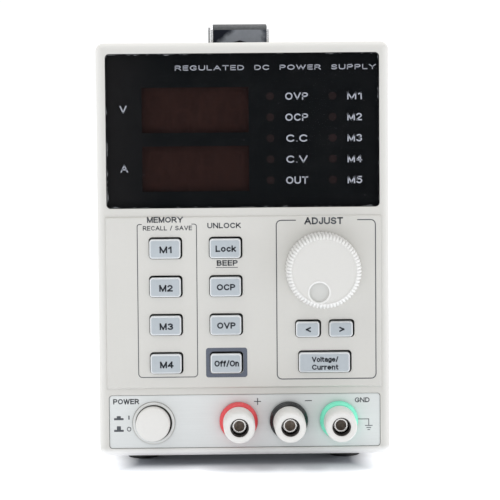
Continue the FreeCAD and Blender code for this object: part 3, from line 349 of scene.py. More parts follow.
def ring_finish():
    made = plastic("ring_plastic", (0.760, 0.775, 0.765), 0.42, 0.45, 0.008, 0.012)
    # Black painted shade behind the rim.
    return made.paint_gap_shade().done()


def key_finish():
    """Blue-grey plastic with a near-white painted highlight on its rolled edges, and black painted
    shade in its gap behind the rim.
    """
    # The near-white of the painted highlight along the key's edges.
    pale = (0.90, 0.92, 0.93)
    made = plastic("key_plastic", (0.465, 0.508, 0.540), 0.40, 0.30, 0.010, 0.02, pale)
    return made.rolled(pale, 0.85).paint_gap_shade().done()


def dial_finish():
    """White plastic with painted light on the ribs over the plain face, and a finger dimple with
    painted shade inside and a painted highlight on its rim.
    """
    made = plastic("dial_plastic", (0.705, 0.695, 0.665), 0.40, 0.5, 0.010, 0.010)
    # Painted light: the ribbed shoulder is lightened.
    made.ring(DIAL.middle, 12.4, 99.0, (0.92, 0.92, 0.905), 0.65, 0.4)
    # Painted highlight on the dimple's raised rim.
    made.ring(DIMPLE, 3.75, 4.15, (0.93, 0.93, 0.915), 0.8)
    # Painted shade inside the dimple.
    made.ring(DIMPLE, 0, 3.6, (0.62, 0.625, 0.60), 0.75)
    # Painted shade between the ribs and in other crevices.
    return made.paint_crevice_shade((0.42, 0.41, 0.39), 0.6, 0.9).done()


def plate_finish():
    """Silver-blue painted inlay with a fine sideways brush."""
    made = Finish("plate_silver", (0.740, 0.762, 0.755), 0.38, metallic=0.08)
    made.vary(30.0, 0.02).vary(0.5, 0.012, 2.0, (0.04, 1, 1))
    made.relief(made.noise(0.25, 2.0, (0.03, 1, 1)), 0.002)
    # Painted shade in corners and crevices.
    made.paint_crevice_shade((0.34, 0.36, 0.37), 0.4, 1.0)
    return made.sheen_spots(8.0, 0.07).done()


def vinyl_finish():
    """Black carrying strap: pebbled leather grain with lighter rubbed ridges."""
    made = Finish("strap_vinyl", (0.056, 0.060, 0.064), 0.60, specular=0.3)
    pebbles = made.cells(0.9, "SMOOTH_F1")
    made.tint(made.steps(pebbles, 0.45, 0.15), (0.095, 0.101, 0.107), 0.6)
    made.vary(12.0, 0.12).edges((0.17, 0.175, 0.18), 0.5, 0.5)
    made.relief(made.steps(pebbles, 0.7, 0.1), 0.10).relief(made.noise(0.2), 0.02)
    return made.sheen_spots(2.0, 0.12).done()


def rubber_finish():
    made = plastic("foot_rubber", (0.022, 0.022, 0.023), 0.75, 0.5, 0.03, 0.15, (0.07, 0.07, 0.07))
    made.tint(made.steps(made.noise(5.0, 4.0), 0.5, 0.75), (0.10, 0.095, 0.09), 0.5)
    return made.done()


def board_finish():
    """Green solder mask over copper tracks, with tinned pads."""
    made = Finish("circuit_board", (0.012, 0.085, 0.040), 0.28)
    tracks = made.math("GREATER_THAN", made.cells(4.0, "DISTANCE_TO_EDGE"), 0.12)
    made.tint(tracks, (0.022, 0.145, 0.065), 0.85)
    made.tint(made.steps(made.cells(3.1), 0.16, 0.12), (0.70, 0.70, 0.66), 0.95)
    made.relief(tracks, 0.035)
    return made.sheen_spots(5.0, 0.08).done()


def lamination_finish():
    """Varnished edges of stacked steel sheets."""
    made = Finish("core_laminations", (0.10, 0.095, 0.09), 0.42, metallic=0.7)
    layers = made.stripes(0.5, "X", 0.4)
    made.tint(layers, (0.26, 0.24, 0.22), 0.7).vary(9.0, 0.25)
    made.tint(made.steps(made.noise(11.0, 5.0), 0.58, 0.75), (0.20, 0.09, 0.035), 0.5)
    made.relief(layers, 0.06)
    return made.sheen_spots(4.0, 0.12).done()


def tape_finish():
    """Yellow polyester tape wound over the coil, overlapping in bands."""
    made = Finish("coil_tape", (0.62, 0.43, 0.035), 0.30)
    bands = made.stripes(9.0, "Z", 0.2)
    made.tint(made.steps(bands, 0.10, 0.02), (0.36, 0.22, 0.02), 0.8)
    made.vary(6.0, 0.10).vary(0.5, 0.05, 2.0, (1, 1, 0.05))
    made.relief(made.steps(bands, 0.12, 0.0), -0.08)
    return made.sheen_spots(3.0, 0.10).done()


def sleeve_finish():
    """Printed shrink sleeve of a capacitor: dark blue with one pale polarity stripe."""
    made = Finish("capacitor_sleeve", (0.014, 0.022, 0.085), 0.25)
    aside = made.math("SUBTRACT", made.math("ABSOLUTE", made.axis("X")), 36 * MM)
    stripe = made.steps(made.math("ABSOLUTE", aside), 2.2 * MM, 2.0 * MM)
    made.tint(stripe, (0.55, 0.57, 0.60), 0.9).vary(8.0, 0.1)
    return made.relief(made.noise(2.0, 2.0), 0.02).sheen_spots(5.0, 0.06).done()


def chrome_finish():
    """Bright chrome with fingerprints, pits and cloudy wear."""
    made = Finish("clip_chrome", (0.90, 0.91, 0.93), 0.16, metallic=1.0)
    made.vary(4.0, 0.04, 4.0).tint(made.steps(made.cells(1.7), 0.10, 0.05), (0.35, 0.34, 0.33), 0.4)
    made.edges((0.30, 0.32, 0.35), 0.5, 0.3)
    return made.relief(made.noise(1.8, 3.0), 0.01).sheen_spots(3.0, 0.10, 4.0).done()


def clip_front_reflection():
    """Painted reflection on the plated front: grey in the middle, dark navy at both ends, with the
    painted shade of a small notch below.
    """
    made = Finish("clip_front_painted_reflection", (0.245, 0.262, 0.295), 0.36, metallic=0.2, specular=0.15)
    wander = made.math("MULTIPLY", made.math("SUBTRACT", made.noise(2.2, 3.0), 0.5), 4 * MM)
    across = made.math("ADD", made.axis("X"), wander)
    rise = made.math("SUBTRACT", made.axis("Z"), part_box("handle_clips")[0].z)
    slanted = made.math("SUBTRACT", across, made.math("MULTIPLY", rise, 1.15))
    # Painted reflection: dark navy towards both ends of the front.
    made.tint(made.steps(slanted, -7.8 * MM, -11.2 * MM), (0.004, 0.006, 0.014), 0.98)
    made.tint(made.steps(across, 8.2 * MM, 9.8 * MM), (0.035, 0.042, 0.058), 0.85)
    # Painted shade: a dark notch at the bottom middle.
    sides = made.math("MULTIPLY", made.math("ABSOLUTE", made.axis("X")), 0.30)
    notch = made.steps(made.math("ADD", sides, rise), 2.1 * MM, 1.8 * MM)
    made.tint(notch, (0.006, 0.007, 0.010)).vary(2.0, 0.06)
    return made.relief(made.noise(0.8, 2.0), 0.006).sheen_spots(3.0, 0.08).done()


def lead_finish():
    """Soft wire sleeve, faintly ribbed where it bends."""
    made = Finish("lead_sleeve", (0.50, 0.035, 0.03), 0.38)
    made.vary(5.0, 0.08).relief(made.noise(0.7, 2.0), 0.03)
    return made.sheen_spots(4.0, 0.08).done()


# Plastics without further layers: name, colour, roughness, size and depth of the grain,
# mottling, and the colour of worn edges.
PLASTICS = {
    "red": ("terminal_red", (0.800, 0.078, 0.090), 0.22, 0.8, 0.006, 0.04),
    "black": ("terminal_black", (0.016, 0.018, 0.019), 0.22, 0.8, 0.006, 0.10),
    "green": ("terminal_green", (0.250, 0.960, 0.680), 0.22, 0.8, 0.006, 0.04),
    "socket": ("socket_lining", (0.36, 0.30, 0.25), 0.45, 0.6, 0.06, 0.45, (0.34, 0.29, 0.25)),
    "liner": ("cap_liner", (0.016, 0.012, 0.010), 0.50, 0.5, 0.02, 0.12, (0.04, 0.03, 0.026)),
    "moulding": ("black_moulding", (0.020, 0.020, 0.022), 0.50, 0.5, 0.03, 0.12, (0.06, 0.06, 0.062)),
    "switch": ("switch_body", (0.030, 0.031, 0.034), 0.45, 0.4, 0.02, 0.10),
    "ink": ("dark_ink", (0.078, 0.086, 0.098), 0.55, 0.25, 0.004, 0.06),
    "key_ink": ("key_ink", (0.014, 0.020, 0.030), 0.55, 0.25, 0.004, 0.06),
    "frame_ink": ("frame_ink", (0.112, 0.128, 0.168), 0.55, 0.25, 0.004, 0.06),
    "pale_ink": ("pale_ink", (0.420, 0.440, 0.500), 0.55, 0.25, 0.004, 0.08),
}

# Metals: name, colour, roughness, stretch, size and depth of the grain, and mottling.
METALS = {
    "zinc": ("zinc_steel", (0.62, 0.63, 0.64), 0.34, (1, 0.08, 1), 0.3, 0.006, 0.08),
    "nickel": ("nickel_plate", (0.74, 0.72, 0.69), 0.20, (1, 1, 1), 0.4, 0.003, 0.05),
    "brass": ("turned_brass", (0.72, 0.52, 0.22), 0.26, (1, 4, 1), 0.3, 0.006, 0.08),
    "wire": ("plated_wire", (0.68, 0.69, 0.70), 0.22, (1, 1, 1), 0.6, 0.01, 0.08),
    "aluminium": ("extruded_aluminium", (0.66, 0.67, 0.68), 0.32, (1, 0.03, 1), 0.3, 0.01, 0.05),
}

PAINT = {
    "bezel": bezel_finish(),
    "window": window_finish(),
    "display": display_finish(),
    "mask": behind_window("window_mask", (0.0085, 0.0105, 0.0115), (0.0130, 0.0150, 0.0160), 0.030),
    "segment": behind_window("dead_segment", (0.067, 0.037, 0.030), (0.080, 0.043, 0.035)),
    "lamp": behind_window("lamp_lens", (0.028, 0.0205, 0.0205), (0.038, 0.025, 0.025)),
    "white": white_finish(),
    "key": key_finish(),
    "ring": ring_finish(),
    "dial": dial_finish(),
    "plate": plate_finish(),
    "paint": steel_paint_finish(),
    "chrome": chrome_finish(),
    "shade": clip_front_reflection(),
    "vinyl": vinyl_finish(),
    "rubber": rubber_finish(),
    "board": board_finish(),
    "core": lamination_finish(),
    "tape": tape_finish(),
    "sleeve": sleeve_finish(),
    "lead": lead_finish(),
    **{key: plastic(*look).done() for key, look in PLASTICS.items()},
    **{key: metal(*look).done() for key, look in METALS.items()},
}

# The paint of each CAD node that keeps its own mesh.
DRESS = {
    "bezel": "front_bezel",
    "window": "display_window",
    "display": "digit_displays",
    "lamp": "indicator_lamps",
    "plate": "terminal_plate",
    "paint": "top_cover rear_panel",
    "zinc": "chassis_tray case_screws handle_screws transformer_frame fan_screws",
    "nickel": "terminal_stems terminal_nuts encoder_body encoder_shaft interface_card",
    "brass": "red_cap_insert black_cap_insert green_cap_insert",
    "board": "control_board main_board",
    "switch": "tact_switches power_switch power_plunger power_transistors",
    "moulding": "fan_frame mains_inlet fuse_drawer voltage_selector",
    "red": "selector_slider",
    "rubber": "rubber_feet",
    "core": "transformer_core",
    "tape": "transformer_coil",
    "sleeve": "filter_capacitors",
    "aluminium": "heatsink",
    "lead": "output_leads",
    "wire": "fan_guard",
}


def dress_cad_nodes():
    for paint, names in DRESS.items():
        for name in names.split():
            piece = nodes[name]
            if not piece.material_slots:
                piece.data.materials.append(PAINT[paint])
            for slot in piece.material_slots:
                slot.material = PAINT[paint]


# ---------------- mesh helpers


def arc_corners(points, radius, steps=6):
    """A closed 2-D outline with each corner rounded by an arc."""
    made = []
    count = len(points)
    for i, here in enumerate(points):
        here = Vector(here)
        before, after = Vector(points[i - 1]) - here, Vector(points[(i + 1) % count]) - here
        half = before.angle(after) / 2
        cut = min(radius / math.tan(half), 0.499 * min(before.length, after.length))
        arc = cut * math.tan(half)
        inward = (before.normalized() + after.normalized()).normalized()
        middle = here + inward * (arc / math.sin(half))
        start = here + before.normalized() * cut - middle
        end = here + after.normalized() * cut - middle
        turn = -start.angle_signed(end)
        made += [middle + Matrix.Rotation(turn * k / steps, 2) @ start for k in range(steps + 1)]
    return made


def box_outline(width, height, radius, steps=6):
    """A rounded rectangle about the origin, always with the same number of points."""
    w, h = width / 2, height / 2
    return arc_corners([(-w, -h), (w, -h), (w, h), (-w, h)], radius, steps)


def softened(points, radius, steps=4):
    """Rounds the inner corners of an open profile, such as a lathe's."""
    made = [Vector(points[0])]
    for triple in zip(points, points[1:], points[2:]):
        made += arc_corners(triple, radius, steps)[steps + 1:2 * (steps + 1)]
    return made + [Vector(points[-1])]


def eased(share):
    """Clamps a share to between 0 and 1 and softens both ends."""
    share = min(1.0, max(0.0, share))
    return share * share * (3 - 2 * share)


def loft(bm, rings, closed=False):
    """Skins rings of equally many points. Closed joins the last to the first; otherwise the
    ends are capped."""
    loops = [[bm.verts.new(point) for point in ring] for ring in rings]
    for a, b in zip(loops, loops[1:] + loops[:int(closed)]):
        for i in range(len(a)):
            j = (i + 1) % len(a)
            bm.faces.new((a[i], a[j], b[j], b[i]))
    if not closed:
        bm.faces.new(reversed(loops[0]))
        bm.faces.new(loops[-1])
    return bm


def facing(middle, outline, depth):
    """A 2-D outline stood up across the depth axis at a place given as (across, up)."""
    return [at(middle[0] + p[0], middle[1] + p[1], depth) for p in outline]


def lying(across, depth, outline, up):
    """A 2-D outline laid flat at a level."""
    return [at(across + p[0], up, depth + p[1]) for p in outline]


def stack(bm, middle, stations, closed=False):
    """Skins outlines that stand one behind the other, given as (outline, depth) pairs."""
    return loft(bm, [facing(middle, outline, depth) for outline, depth in stations], closed)


def slab(bm, middle, outline, front, back):
    return stack(bm, middle, [(outline, front), (outline, back)])


def angles(count):
    return [2 * math.pi * i / count for i in range(count)]


def round_outline(radius, count):
    return [(radius * math.cos(a), radius * math.sin(a)) for a in angles(count)]


def lathe(bm, middle, profile, count=96, closed=False):
    """Turns (radius, depth) pairs about the depth axis."""
    return stack(bm, middle, [(round_outline(r, count), d) for r, d in profile], closed)


def add(name, data):
    """Puts a new object into the scene."""
    made = bpy.data.objects.new(name, data)
    bpy.context.scene.collection.objects.link(made)
    return made


def finish_piece(name, bm, paint, body="case", slot=None, stands_for=(), smooth=35):
    """Turns a bmesh into a piece that rides on a body."""
    bmesh.ops.recalc_face_normals(bm, faces=bm.faces)
    mesh = bpy.data.meshes.new(name)
    bm.to_mesh(mesh)
    bm.free()
    mesh.shade_smooth()
    mesh.set_sharp_from_angle(angle=math.radians(smooth))
    mesh.materials.append(PAINT[paint])
    piece = add(name, mesh)
    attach(piece, body)
    if stands_for:
        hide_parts(*stands_for)
    return piece


# ---------------- printing


def bow(x, y, rx, ry, start, end, steps=9):
    """Points along part of an ellipse, from one angle in degrees to another."""
    angles = [math.radians(start + (end - start) * i / steps) for i in range(steps + 1)]
    return [(x + rx * math.cos(a), y + ry * math.sin(a)) for a in angles]


# Each letter is its width and its pen strokes, with a capital a hundred units tall. A stroke
# is a row of points as x,y and of arcs as x,y,rx,ry,start,end and, where needed, a step count.
LETTERS = {
    " ": (22,),
    "A": (76, "0,0 38,100 76,0", "14,34 62,34"),
    "B": (60, "0,0 0,100 33,100 33,76,22,24,90,-90 0,52", "30,52 35,26,25,26,90,-90 0,0"),
    "C": (68, "37,50,37,50,42,318,14"),
    "D": (66, "0,0 0,100 26,100 26,50,40,50,90,-90 0,0"),
    "E": (54, "54,100 0,100 0,0 54,0", "0,52 50,52"),
    "G": (72, "38,50,38,50,42,316,14 72,20 72,46 42,46"),
    "I": (0, "0,0 0,100"),
    "J": (42, "42,100 42,26 21,26,21,26,0,-180"),
    "K": (62, "0,0 0,100", "60,100 0,36", "22,58 64,0"),
    "L": (50, "0,100 0,0 50,0"),
    "M": (74, "0,0 0,100", "0,100 37,2 74,100", "74,100 74,0"),
    "N": (66, "0,0 0,100", "2,98 64,2", "66,0 66,100"),
    "O": (76, "38,50,38,50,0,360,20"),
    "P": (60, "0,0 0,100 33,100 33,73,26,27,90,-90 0,46"),
    "R": (64, "0,0 0,100 33,100 33,73,26,27,90,-90 0,46", "34,46 64,0"),
    "S": (60, "30,75,27,25,22,262 30,25,30,25,82,-160"),
    "T": (62, "0,100 62,100", "31,100 31,0"),
    "U": (66, "0,100 0,33 33,33,33,33,180,360 66,100"),
    "V": (72, "0,100 36,0 72,100"),
    "W": (100, "0,100 25,0 50,96 75,0 100,100"),
    "Y": (70, "0,100 35,48 70,100", "35,48 35,0"),
    "0": (52, "26,50,26,50,0,360,20"),
    "1": (24, "0,78 22,100 24,0"),
    "2": (54, "27,72,26,28,160,-25 0,0 54,0"),
    "3": (54, "26,76,24,24,150,-80 26,27,28,27,80,-150"),
    "4": (58, "43,0 43,100", "43,100 0,30 58,30"),
    "5": (54, "50,100 8,100 3,52 25,33,29,33,135,-150"),
    "a": (48, "24,21,24,21,0,360,14", "48,0 48,50 25,50,23,22,0,160"),
    "c": (46, "26,36,26,36,45,315,12"),
    "e": (50, "0,37 50,37 25,36,25,36,5,312,12"),
    "f": (30, "10,0 10,80 30,80,20,20,180,90", "0,70 28,70"),
    "g": (50, "25,36,25,36,0,360,14", "50,74 50,-6 25,-6,25,20,0,-155"),
    "k": (46, "0,0 0,100", "44,72 0,28", "17,44 46,0"),
    "l": (0, "0,0 0,100"),
    "n": (46, "0,0 0,74", "0,46 23,46,23,27,180,0 46,0"),
    "o": (52, "26,36,26,36,0,360,16"),
    "r": (28, "0,0 0,74", "0,42 26,42,26,30,180,80"),
    "t": (28, "10,95 10,20 28,20,18,20,180,270", "0,70 27,70"),
    "u": (46, "0,72 0,27 23,27,23,27,180,360", "46,72 46,0"),
    "/": (34, "0,-5 34,105"),
    "<": (50, "50,82 0,47 50,12"),
    ">": (50, "0,82 50,47 0,12"),
    ".": (0, "0,-3 0,7"),
}
LETTER_GAP = 30


def pen_points(line):
    """The points of one stroke of a letter."""
    made = []
    for word in line.split():
        values = [int(value) for value in word.split(",")]
        made += bow(*values) if len(values) > 2 else [values]
    return made


def write(bm, surface, text, middle, height, width, pen, side=1):
    """Prints a line of text centred on a place; height is a capital's, pen the stroke's.
    With a side of -1 it reads from behind."""
    length = sum(LETTERS[c][0] for c in text) + LETTER_GAP * (len(text) - 1)
    grow, stretch = (height - pen) / 100, side * (width - pen) / length
    start = -length / 2
    for letter in text:
        for line in LETTERS[letter][1:]:
            points = [
                (middle[0] + (start + x) * stretch, middle[1] + (y - 50) * grow)
                for x, y in pen_points(line)
            ]
            for run in split_at_corners(points):
                stroke(bm, surface, run, pen)
        start += LETTERS[letter][0] + LETTER_GAP


def stroke(bm, surface, points, width):
    """Prints a line of the given width through 2-D points, ending half its width past them."""
    points = [Vector(p) for p in points]
    if (points[0] - points[-1]).length > width:
        points[0] += (points[0] - points[1]).normalized() * width / 2
        points[-1] += (points[-1] - points[-2]).normalized() * width / 2
    rings = []
    for i, here in enumerate(points):
        into = (here - points[i - 1]).normalized() if i else None
        out = (points[i + 1] - here).normalized() if i + 1 < len(points) else None
        along = ((into or out) + (out or into)).normalized()
        across = Vector((-along.y, along.x))
        lean = max(0.35, along.dot(into or out))
        aside = across * width / 2 / lean
        sides = ((aside, -INK), (-aside, -INK), (-aside, INK), (aside, INK))
        rings.append([at(*(here + way), surface + rise) for way, rise in sides])
    loft(bm, rings)


def split_at_corners(points):
    """Cuts a line of 2-D points wherever it turns sharply."""
    points = [Vector(p) for p in points]
    points = [p for i, p in enumerate(points) if i == 0 or (p - points[i - 1]).length > 0.01]
    runs, run = [], [points[0]]
    for before, here, after in zip(points, points[1:], points[2:]):
        run.append(here)
        if (here - before).angle(after - here) > math.radians(60):
            runs.append(run)
            run = [here]
    runs.append(run + [points[-1]])
    return runs


def open_frame(bm, left, right, low, high, gap, corner, width):
    """A rounded frame on the panel with a gap in its top edge, between two across values."""
    corners = [(left, high), (left, low), (right, low), (right, high)]
    points = [(gap[0], high), *corners, (gap[1], high)]
    stroke(bm, PANEL, softened(points, corner, 5), width)


# ---------------- front panel

# Words on the panel and the window: the text, its middle, a capital's height, the width
# and the pen.
PANEL_WORDS = (
    ("MEMORY", (-29.5, 89.7), 2.15, 13.5, 0.46),
    ("RECALL / SAVE", (-28.6, 86.55), 1.7, 18.5, 0.30),
    ("UNLOCK", (-7.3, 87.35), 2.05, 12.6, 0.42),
    ("BEEP", (-6.2, 73.2), 2.1, 7.9, 0.46),
    ("ADJUST", (30.25, 88.8), 2.65, 14.6, 0.56),
)
WINDOW_WORDS = (
    ("V", (-44.8, 131.2), 2.85, 2.6, 0.46),
    ("A", (-44.6, 109.0), 2.85, 2.8, 0.46),
    ("REGULATED  DC  POWER  SUPPLY", (12.5, 146.6), 1.9, 75.5, 0.34),
)
LAMP_WORDS = (("OVP", 8.6), ("OCP", 8.6), ("C.C", 8.0), ("C.V", 8.0), ("OUT", 8.3))


def panel_print():
    bm = bmesh.new()
    for words in PANEL_WORDS:
        write(bm, PANEL, *words)
    stroke(bm, PANEL, [(-10.4, 71.5), (-2.3, 71.5)], 0.22)
    open_frame(bm, -40.0, -17.7, 30.1, 88.0, (-38.4, -19.4), 1.4, 0.30)
    open_frame(bm, 12.35, 49.75, 28.95, 89.1, (19.6, 43.1), 1.8, 0.36)
    finish_piece("panel_print", bm, "ink", slot="cream_plastic")

    bm = bmesh.new()
    key = Extent("output_key")
    outer, inner = box_outline(15.6, 11.2, 1.0), box_outline(12.7, 8.4, 1.4)
    low, high = PANEL - INK, PANEL + INK
    stations = [(outer, low), (inner, low), (inner, high), (outer, high)]
    stack(bm, (key.across, key.up - 0.05), stations, closed=True)
    finish_piece("output_key_frame", bm, "frame_ink", slot="cream_plastic")


def plate_print():
    """Words and signs on the plate: the power button's two places, both poles and ground."""
    bm = bmesh.new()
    write(bm, PLATE, "POWER", (-44.9, 20.85), 2.0, 9.8, 0.42)
    write(bm, PLATE, "GND", (44.5, 20.6), 1.85, 5.6, 0.34)
    for level, tall in ((14.2, 0.8), (9.75, 1.4)):
        hat = box_outline(1.5, tall, 0.15, 2)
        slab(bm, (-47.75, level), box_outline(3.6, 0.75, 0.1, 2), PLATE - INK, PLATE + INK)
        slab(bm, (-47.75, level + 0.35 + tall / 2), hat, PLATE - INK * 0.9, PLATE + INK)
    stroke(bm, PLATE, [(-43.9, 14.25), (-43.9, 15.25)], 0.46)
    stroke(bm, PLATE, bow(-43.9, 10.35, 0.68, 0.74, 0, 360, 24), 0.30)
    above = PLATE - 0.004
    stroke(bm, PLATE, [(3.7, 20.4), (6.0, 20.4)], 0.32)
    stroke(bm, above, [(4.85, 19.25), (4.85, 21.55)], 0.32)
    stroke(bm, PLATE, [(22.95, 20.5), (25.25, 20.5)], 0.32)
    ground = 46.95
    stroke(bm, PLATE, [(42.7, 13.3), (ground, 13.3), (ground, 10.9)], 0.26)
    for level, half in ((10.8, 1.3), (10.0, 0.75), (9.2, 0.35)):
        stroke(bm, above, [(ground - half, level), (ground + half, level)], 0.26)
    finish_piece("plate_print", bm, "ink", slot="silver_plate")


def window_print():
    bm = bmesh.new()
    for words in WINDOW_WORDS:
        write(bm, WINDOW, *words)
    for i, (level, (text, width)) in enumerate(zip(LAMP_LEVELS, LAMP_WORDS), 1):
        write(bm, WINDOW, text, (20.4, level), 2.75, width, 0.48)
        write(bm, WINDOW, f"M{i}", (42.2, level), 2.75, 5.5, 0.48)
    finish_piece("window_print", bm, "pale_ink", slot="window_acrylic")


def window_mask():
    """The black print on the window's back, open over the displays, and its lamp spots."""
    inset, opening = 0.2, 8.5
    half = GLASS.wide / 2 - inset
    columns = [GLASS.across - half, -37.85, 2.35, GLASS.across + half]
    levels = [GLASS.foot + inset, GLASS.top - inset]
    for display in DISPLAY_LEVELS:
        levels += [display - opening, display + opening]
    bm = bmesh.new()
    grid = [[bm.verts.new(at(x, z, WINDOW + 1.75)) for z in sorted(levels)] for x in columns]
    for i in range(3):
        for j in range(5):
            if i != 1 or j % 2 == 0:
                bm.faces.new((grid[i][j], grid[i + 1][j], grid[i + 1][j + 1], grid[i][j + 1]))
    made = bmesh.ops.extrude_face_region(bm, geom=list(bm.faces))
    moved = [v for v in made["geom"] if isinstance(v, bmesh.types.BMVert)]
    bmesh.ops.translate(bm, verts=moved, vec=(0, 0.2 * MM, 0))
    finish_piece("window_mask", bm, "mask", slot="window_acrylic", smooth=20)
    bm = bmesh.new()
    for across in (10.5, 34.0):
        for level in LAMP_LEVELS:
            spot = box_outline(3.0, 3.0, 1.499, 7)
            slab(bm, (across, level), spot, WINDOW + 1.70, WINDOW + 1.76)
    finish_piece("lamp_spots", bm, "lamp", slot="window_acrylic")


def window_rim():
    """The window's polished edge, catching the light round the dark face."""
    bm = bmesh.new()
    stations = []
    for grow, depth in ((0.0, 0.42), (0.12, 0.42), (0.12, 1.9), (0.0, 1.9)):
        outline = box_outline(GLASS.wide + 2 * grow, GLASS.tall + 2 * grow, 1.5 + grow)
        stations.append((outline, WINDOW + depth))
    stack(bm, GLASS.middle, stations, closed=True)
    finish_piece("window_rim", bm, "mask", slot="window_acrylic")


def digit_segments():
    """Seven unlit segments and a point for each digit of both displays."""
    bm = bmesh.new()
    surface = Extent("digit_displays").front
    front, back = surface - 0.05, surface + 0.1
    tall, wide, thick, slant = 6.1, 5.6, 1.15, 0.09
    bar = [(-0.5, 0), (-0.4, 0.5), (0.4, 0.5), (0.5, 0), (0.4, -0.5), (-0.4, -0.5)]
    flat = [(0, z, [(x * (wide - 0.35), y * thick) for x, y in bar]) for z in (tall, 0, -tall)]
    stood = [
        (x, z, [(y * thick, u * (tall - 0.35)) for u, y in bar])
        for z in (tall / 2, -tall / 2) for x in (-wide / 2, wide / 2)
    ]
    for level in DISPLAY_LEVELS:
        for digit in range(4):
            middle = -32.7 + digit * 9.9
            for x, z, outline in flat + stood:
                leaning = [(u + slant * (v + z), v) for u, v in outline]
                slab(bm, (middle + x, level + z), leaning, front, back)
            slab(bm, (middle + 4.6, level - tall), box_outline(1.2, 1.2, 0.6, 3), front, back)
    finish_piece("digit_segments", bm, "segment", slot="display_filter")


# Each key's lines of text: the words, a capital's height, the width, and across and up
# from the middle of the key.
KEY_LABELS = {
    "memory_key_1": [("M1", 2.5, 4.6, 0.05, -0.5)],
    **{f"memory_key_{i}": [(f"M{i}", 2.5, 5.1, 0.05, -0.5)] for i in (2, 3, 4)},
    "lock_key": [("Lock", 2.4, 7.7, 0.0, -0.25)],
    "current_limit_key": [("OCP", 2.35, 7.0, 0.0, -0.3)],
    "voltage_limit_key": [("OVP", 2.35, 7.0, 0.0, -0.3)],
    "output_key": [("Off/On", 2.3, 9.3, 0.0, -0.2)],
    "cursor_left_key": [("<", 2.5, 1.9, 0.0, -0.2)],
    "cursor_right_key": [(">", 2.5, 1.9, 0.0, -0.2)],
    "mode_key": [("Voltage/", 2.0, 10.0, 0.0, 1.0), ("Current", 2.0, 10.0, 0.0, -1.95)],
}


def key_cap(node, lines):
    """A flat-topped key with softly rolled edges, its retaining flange and its stem."""
    key = Extent(node)
    width, height = key.wide - 2.75, key.tall - 2.9
    flange_front, flange_back = key.back - 3.3, key.back - 2.3
    roll, corner = 0.75, 1.1
    rings = []
    for i in range(6):
        a = math.pi / 2 * i / 5
        inset = roll * (1 - math.sin(a))
        outline = box_outline(width - 2 * inset, height - 2 * inset, corner - inset * 0.5)
        depth = key.front + roll * (1 - math.cos(a))
        rings.append(facing((key.across - 0.25, key.up - 0.26), outline, depth))
    cap, flange, stem = (width, height, corner), (key.wide, key.tall, 0.8), (4.0, 4.0, 1.99)
    for outline, depth in (
        (cap, flange_front), (flange, flange_front), (flange, flange_back),
        (stem, flange_back), (stem, key.back),
    ):
        rings.append(facing(key.middle, box_outline(*outline), depth))
    joint = node.replace("key", "press")
    body = next(j["child"] for j in frame["joints"] if j["name"] == joint)
    finish_piece(node + "_cap", loft(bmesh.new(), rings), "key", body, "key_plastic", [node])
    bm = bmesh.new()
    for text, tall, wide, right, above in lines:
        write(bm, key.front, text, (key.across + right, key.up + above), tall, wide, 0.225 * tall)
    finish_piece(node + "_label", bm, "key_ink", body, "key_plastic")


def dial():
    """The knurled dial: ribs run up the skirt and over a rolled shoulder, with a finger dimple."""
    front, back, outer = DIAL.front, DIAL.back, DIAL.wide / 2
    ribs, count = 64, 64 * 8
    face, deep, shoulder, crown = 11.9, 0.55, 3.4, 0.18

    def ribbed(radius, share):
        """A circle whose ribs are cut to a share of their full depth."""
        cuts = [1 - (0.5 + 0.5 * math.cos(ribs * a)) ** 0.6 for a in angles(count)]
        radii = [radius - deep * share * cut for cut in cuts]
        return [(r * math.cos(a), r * math.sin(a)) for r, a in zip(radii, angles(count))]

    profile = [
        (outer - 0.5, back, 0.0), (outer, back - 0.5, 0.6), (outer, back - 1.0, 1.0),
        (outer - 0.05, front + shoulder, 1.0),
    ]
    for i in range(1, 9):
        a = math.pi / 2 * i / 8
        radius = face + (outer - 0.05 - face) * math.cos(a)
        depth = front + shoulder * (1 - math.sin(a))
        profile.append((radius, depth, 1.0 if i < 7 else 0.45 * (8 - i)))
    rings = [facing(DIAL.middle, round_outline(r, count), back) for r in (5.6, outer - 3.5)]
    rings += [facing(DIAL.middle, ribbed(r, share), depth) for r, depth, share in profile]

    well, lip = 3.75, 0.75

    def dished(point):
        """Sinks a flat-bottomed well with a raised rim into the face."""
        x, z = point.x / MM - DIMPLE[0], (point.z - BEZEL_LOW.z) / MM - DIMPLE[1]
        reach = math.hypot(x, z)
        if reach < well + 0.2:
            point.y += MM * 1.1 * eased((well + 0.2 - reach) / 0.6)
        elif reach < well + lip:
            point.y -= MM * 0.14 * math.sin(math.pi * (reach - well - 0.2) / (lip - 0.2))
        return point

    inner = 60
    for i in range(1, inner):
        radius = face * (1 - i / inner)
        depth = front + crown * (radius / face) ** 2
        rings.append([dished(p) for p in facing(DIAL.middle, round_outline(radius, count), depth)])
    bm = loft(bmesh.new(), rings)
    finish_piece("dial_shell", bm, "dial", "knob", "white_plastic", ["adjust_knob"], 50)


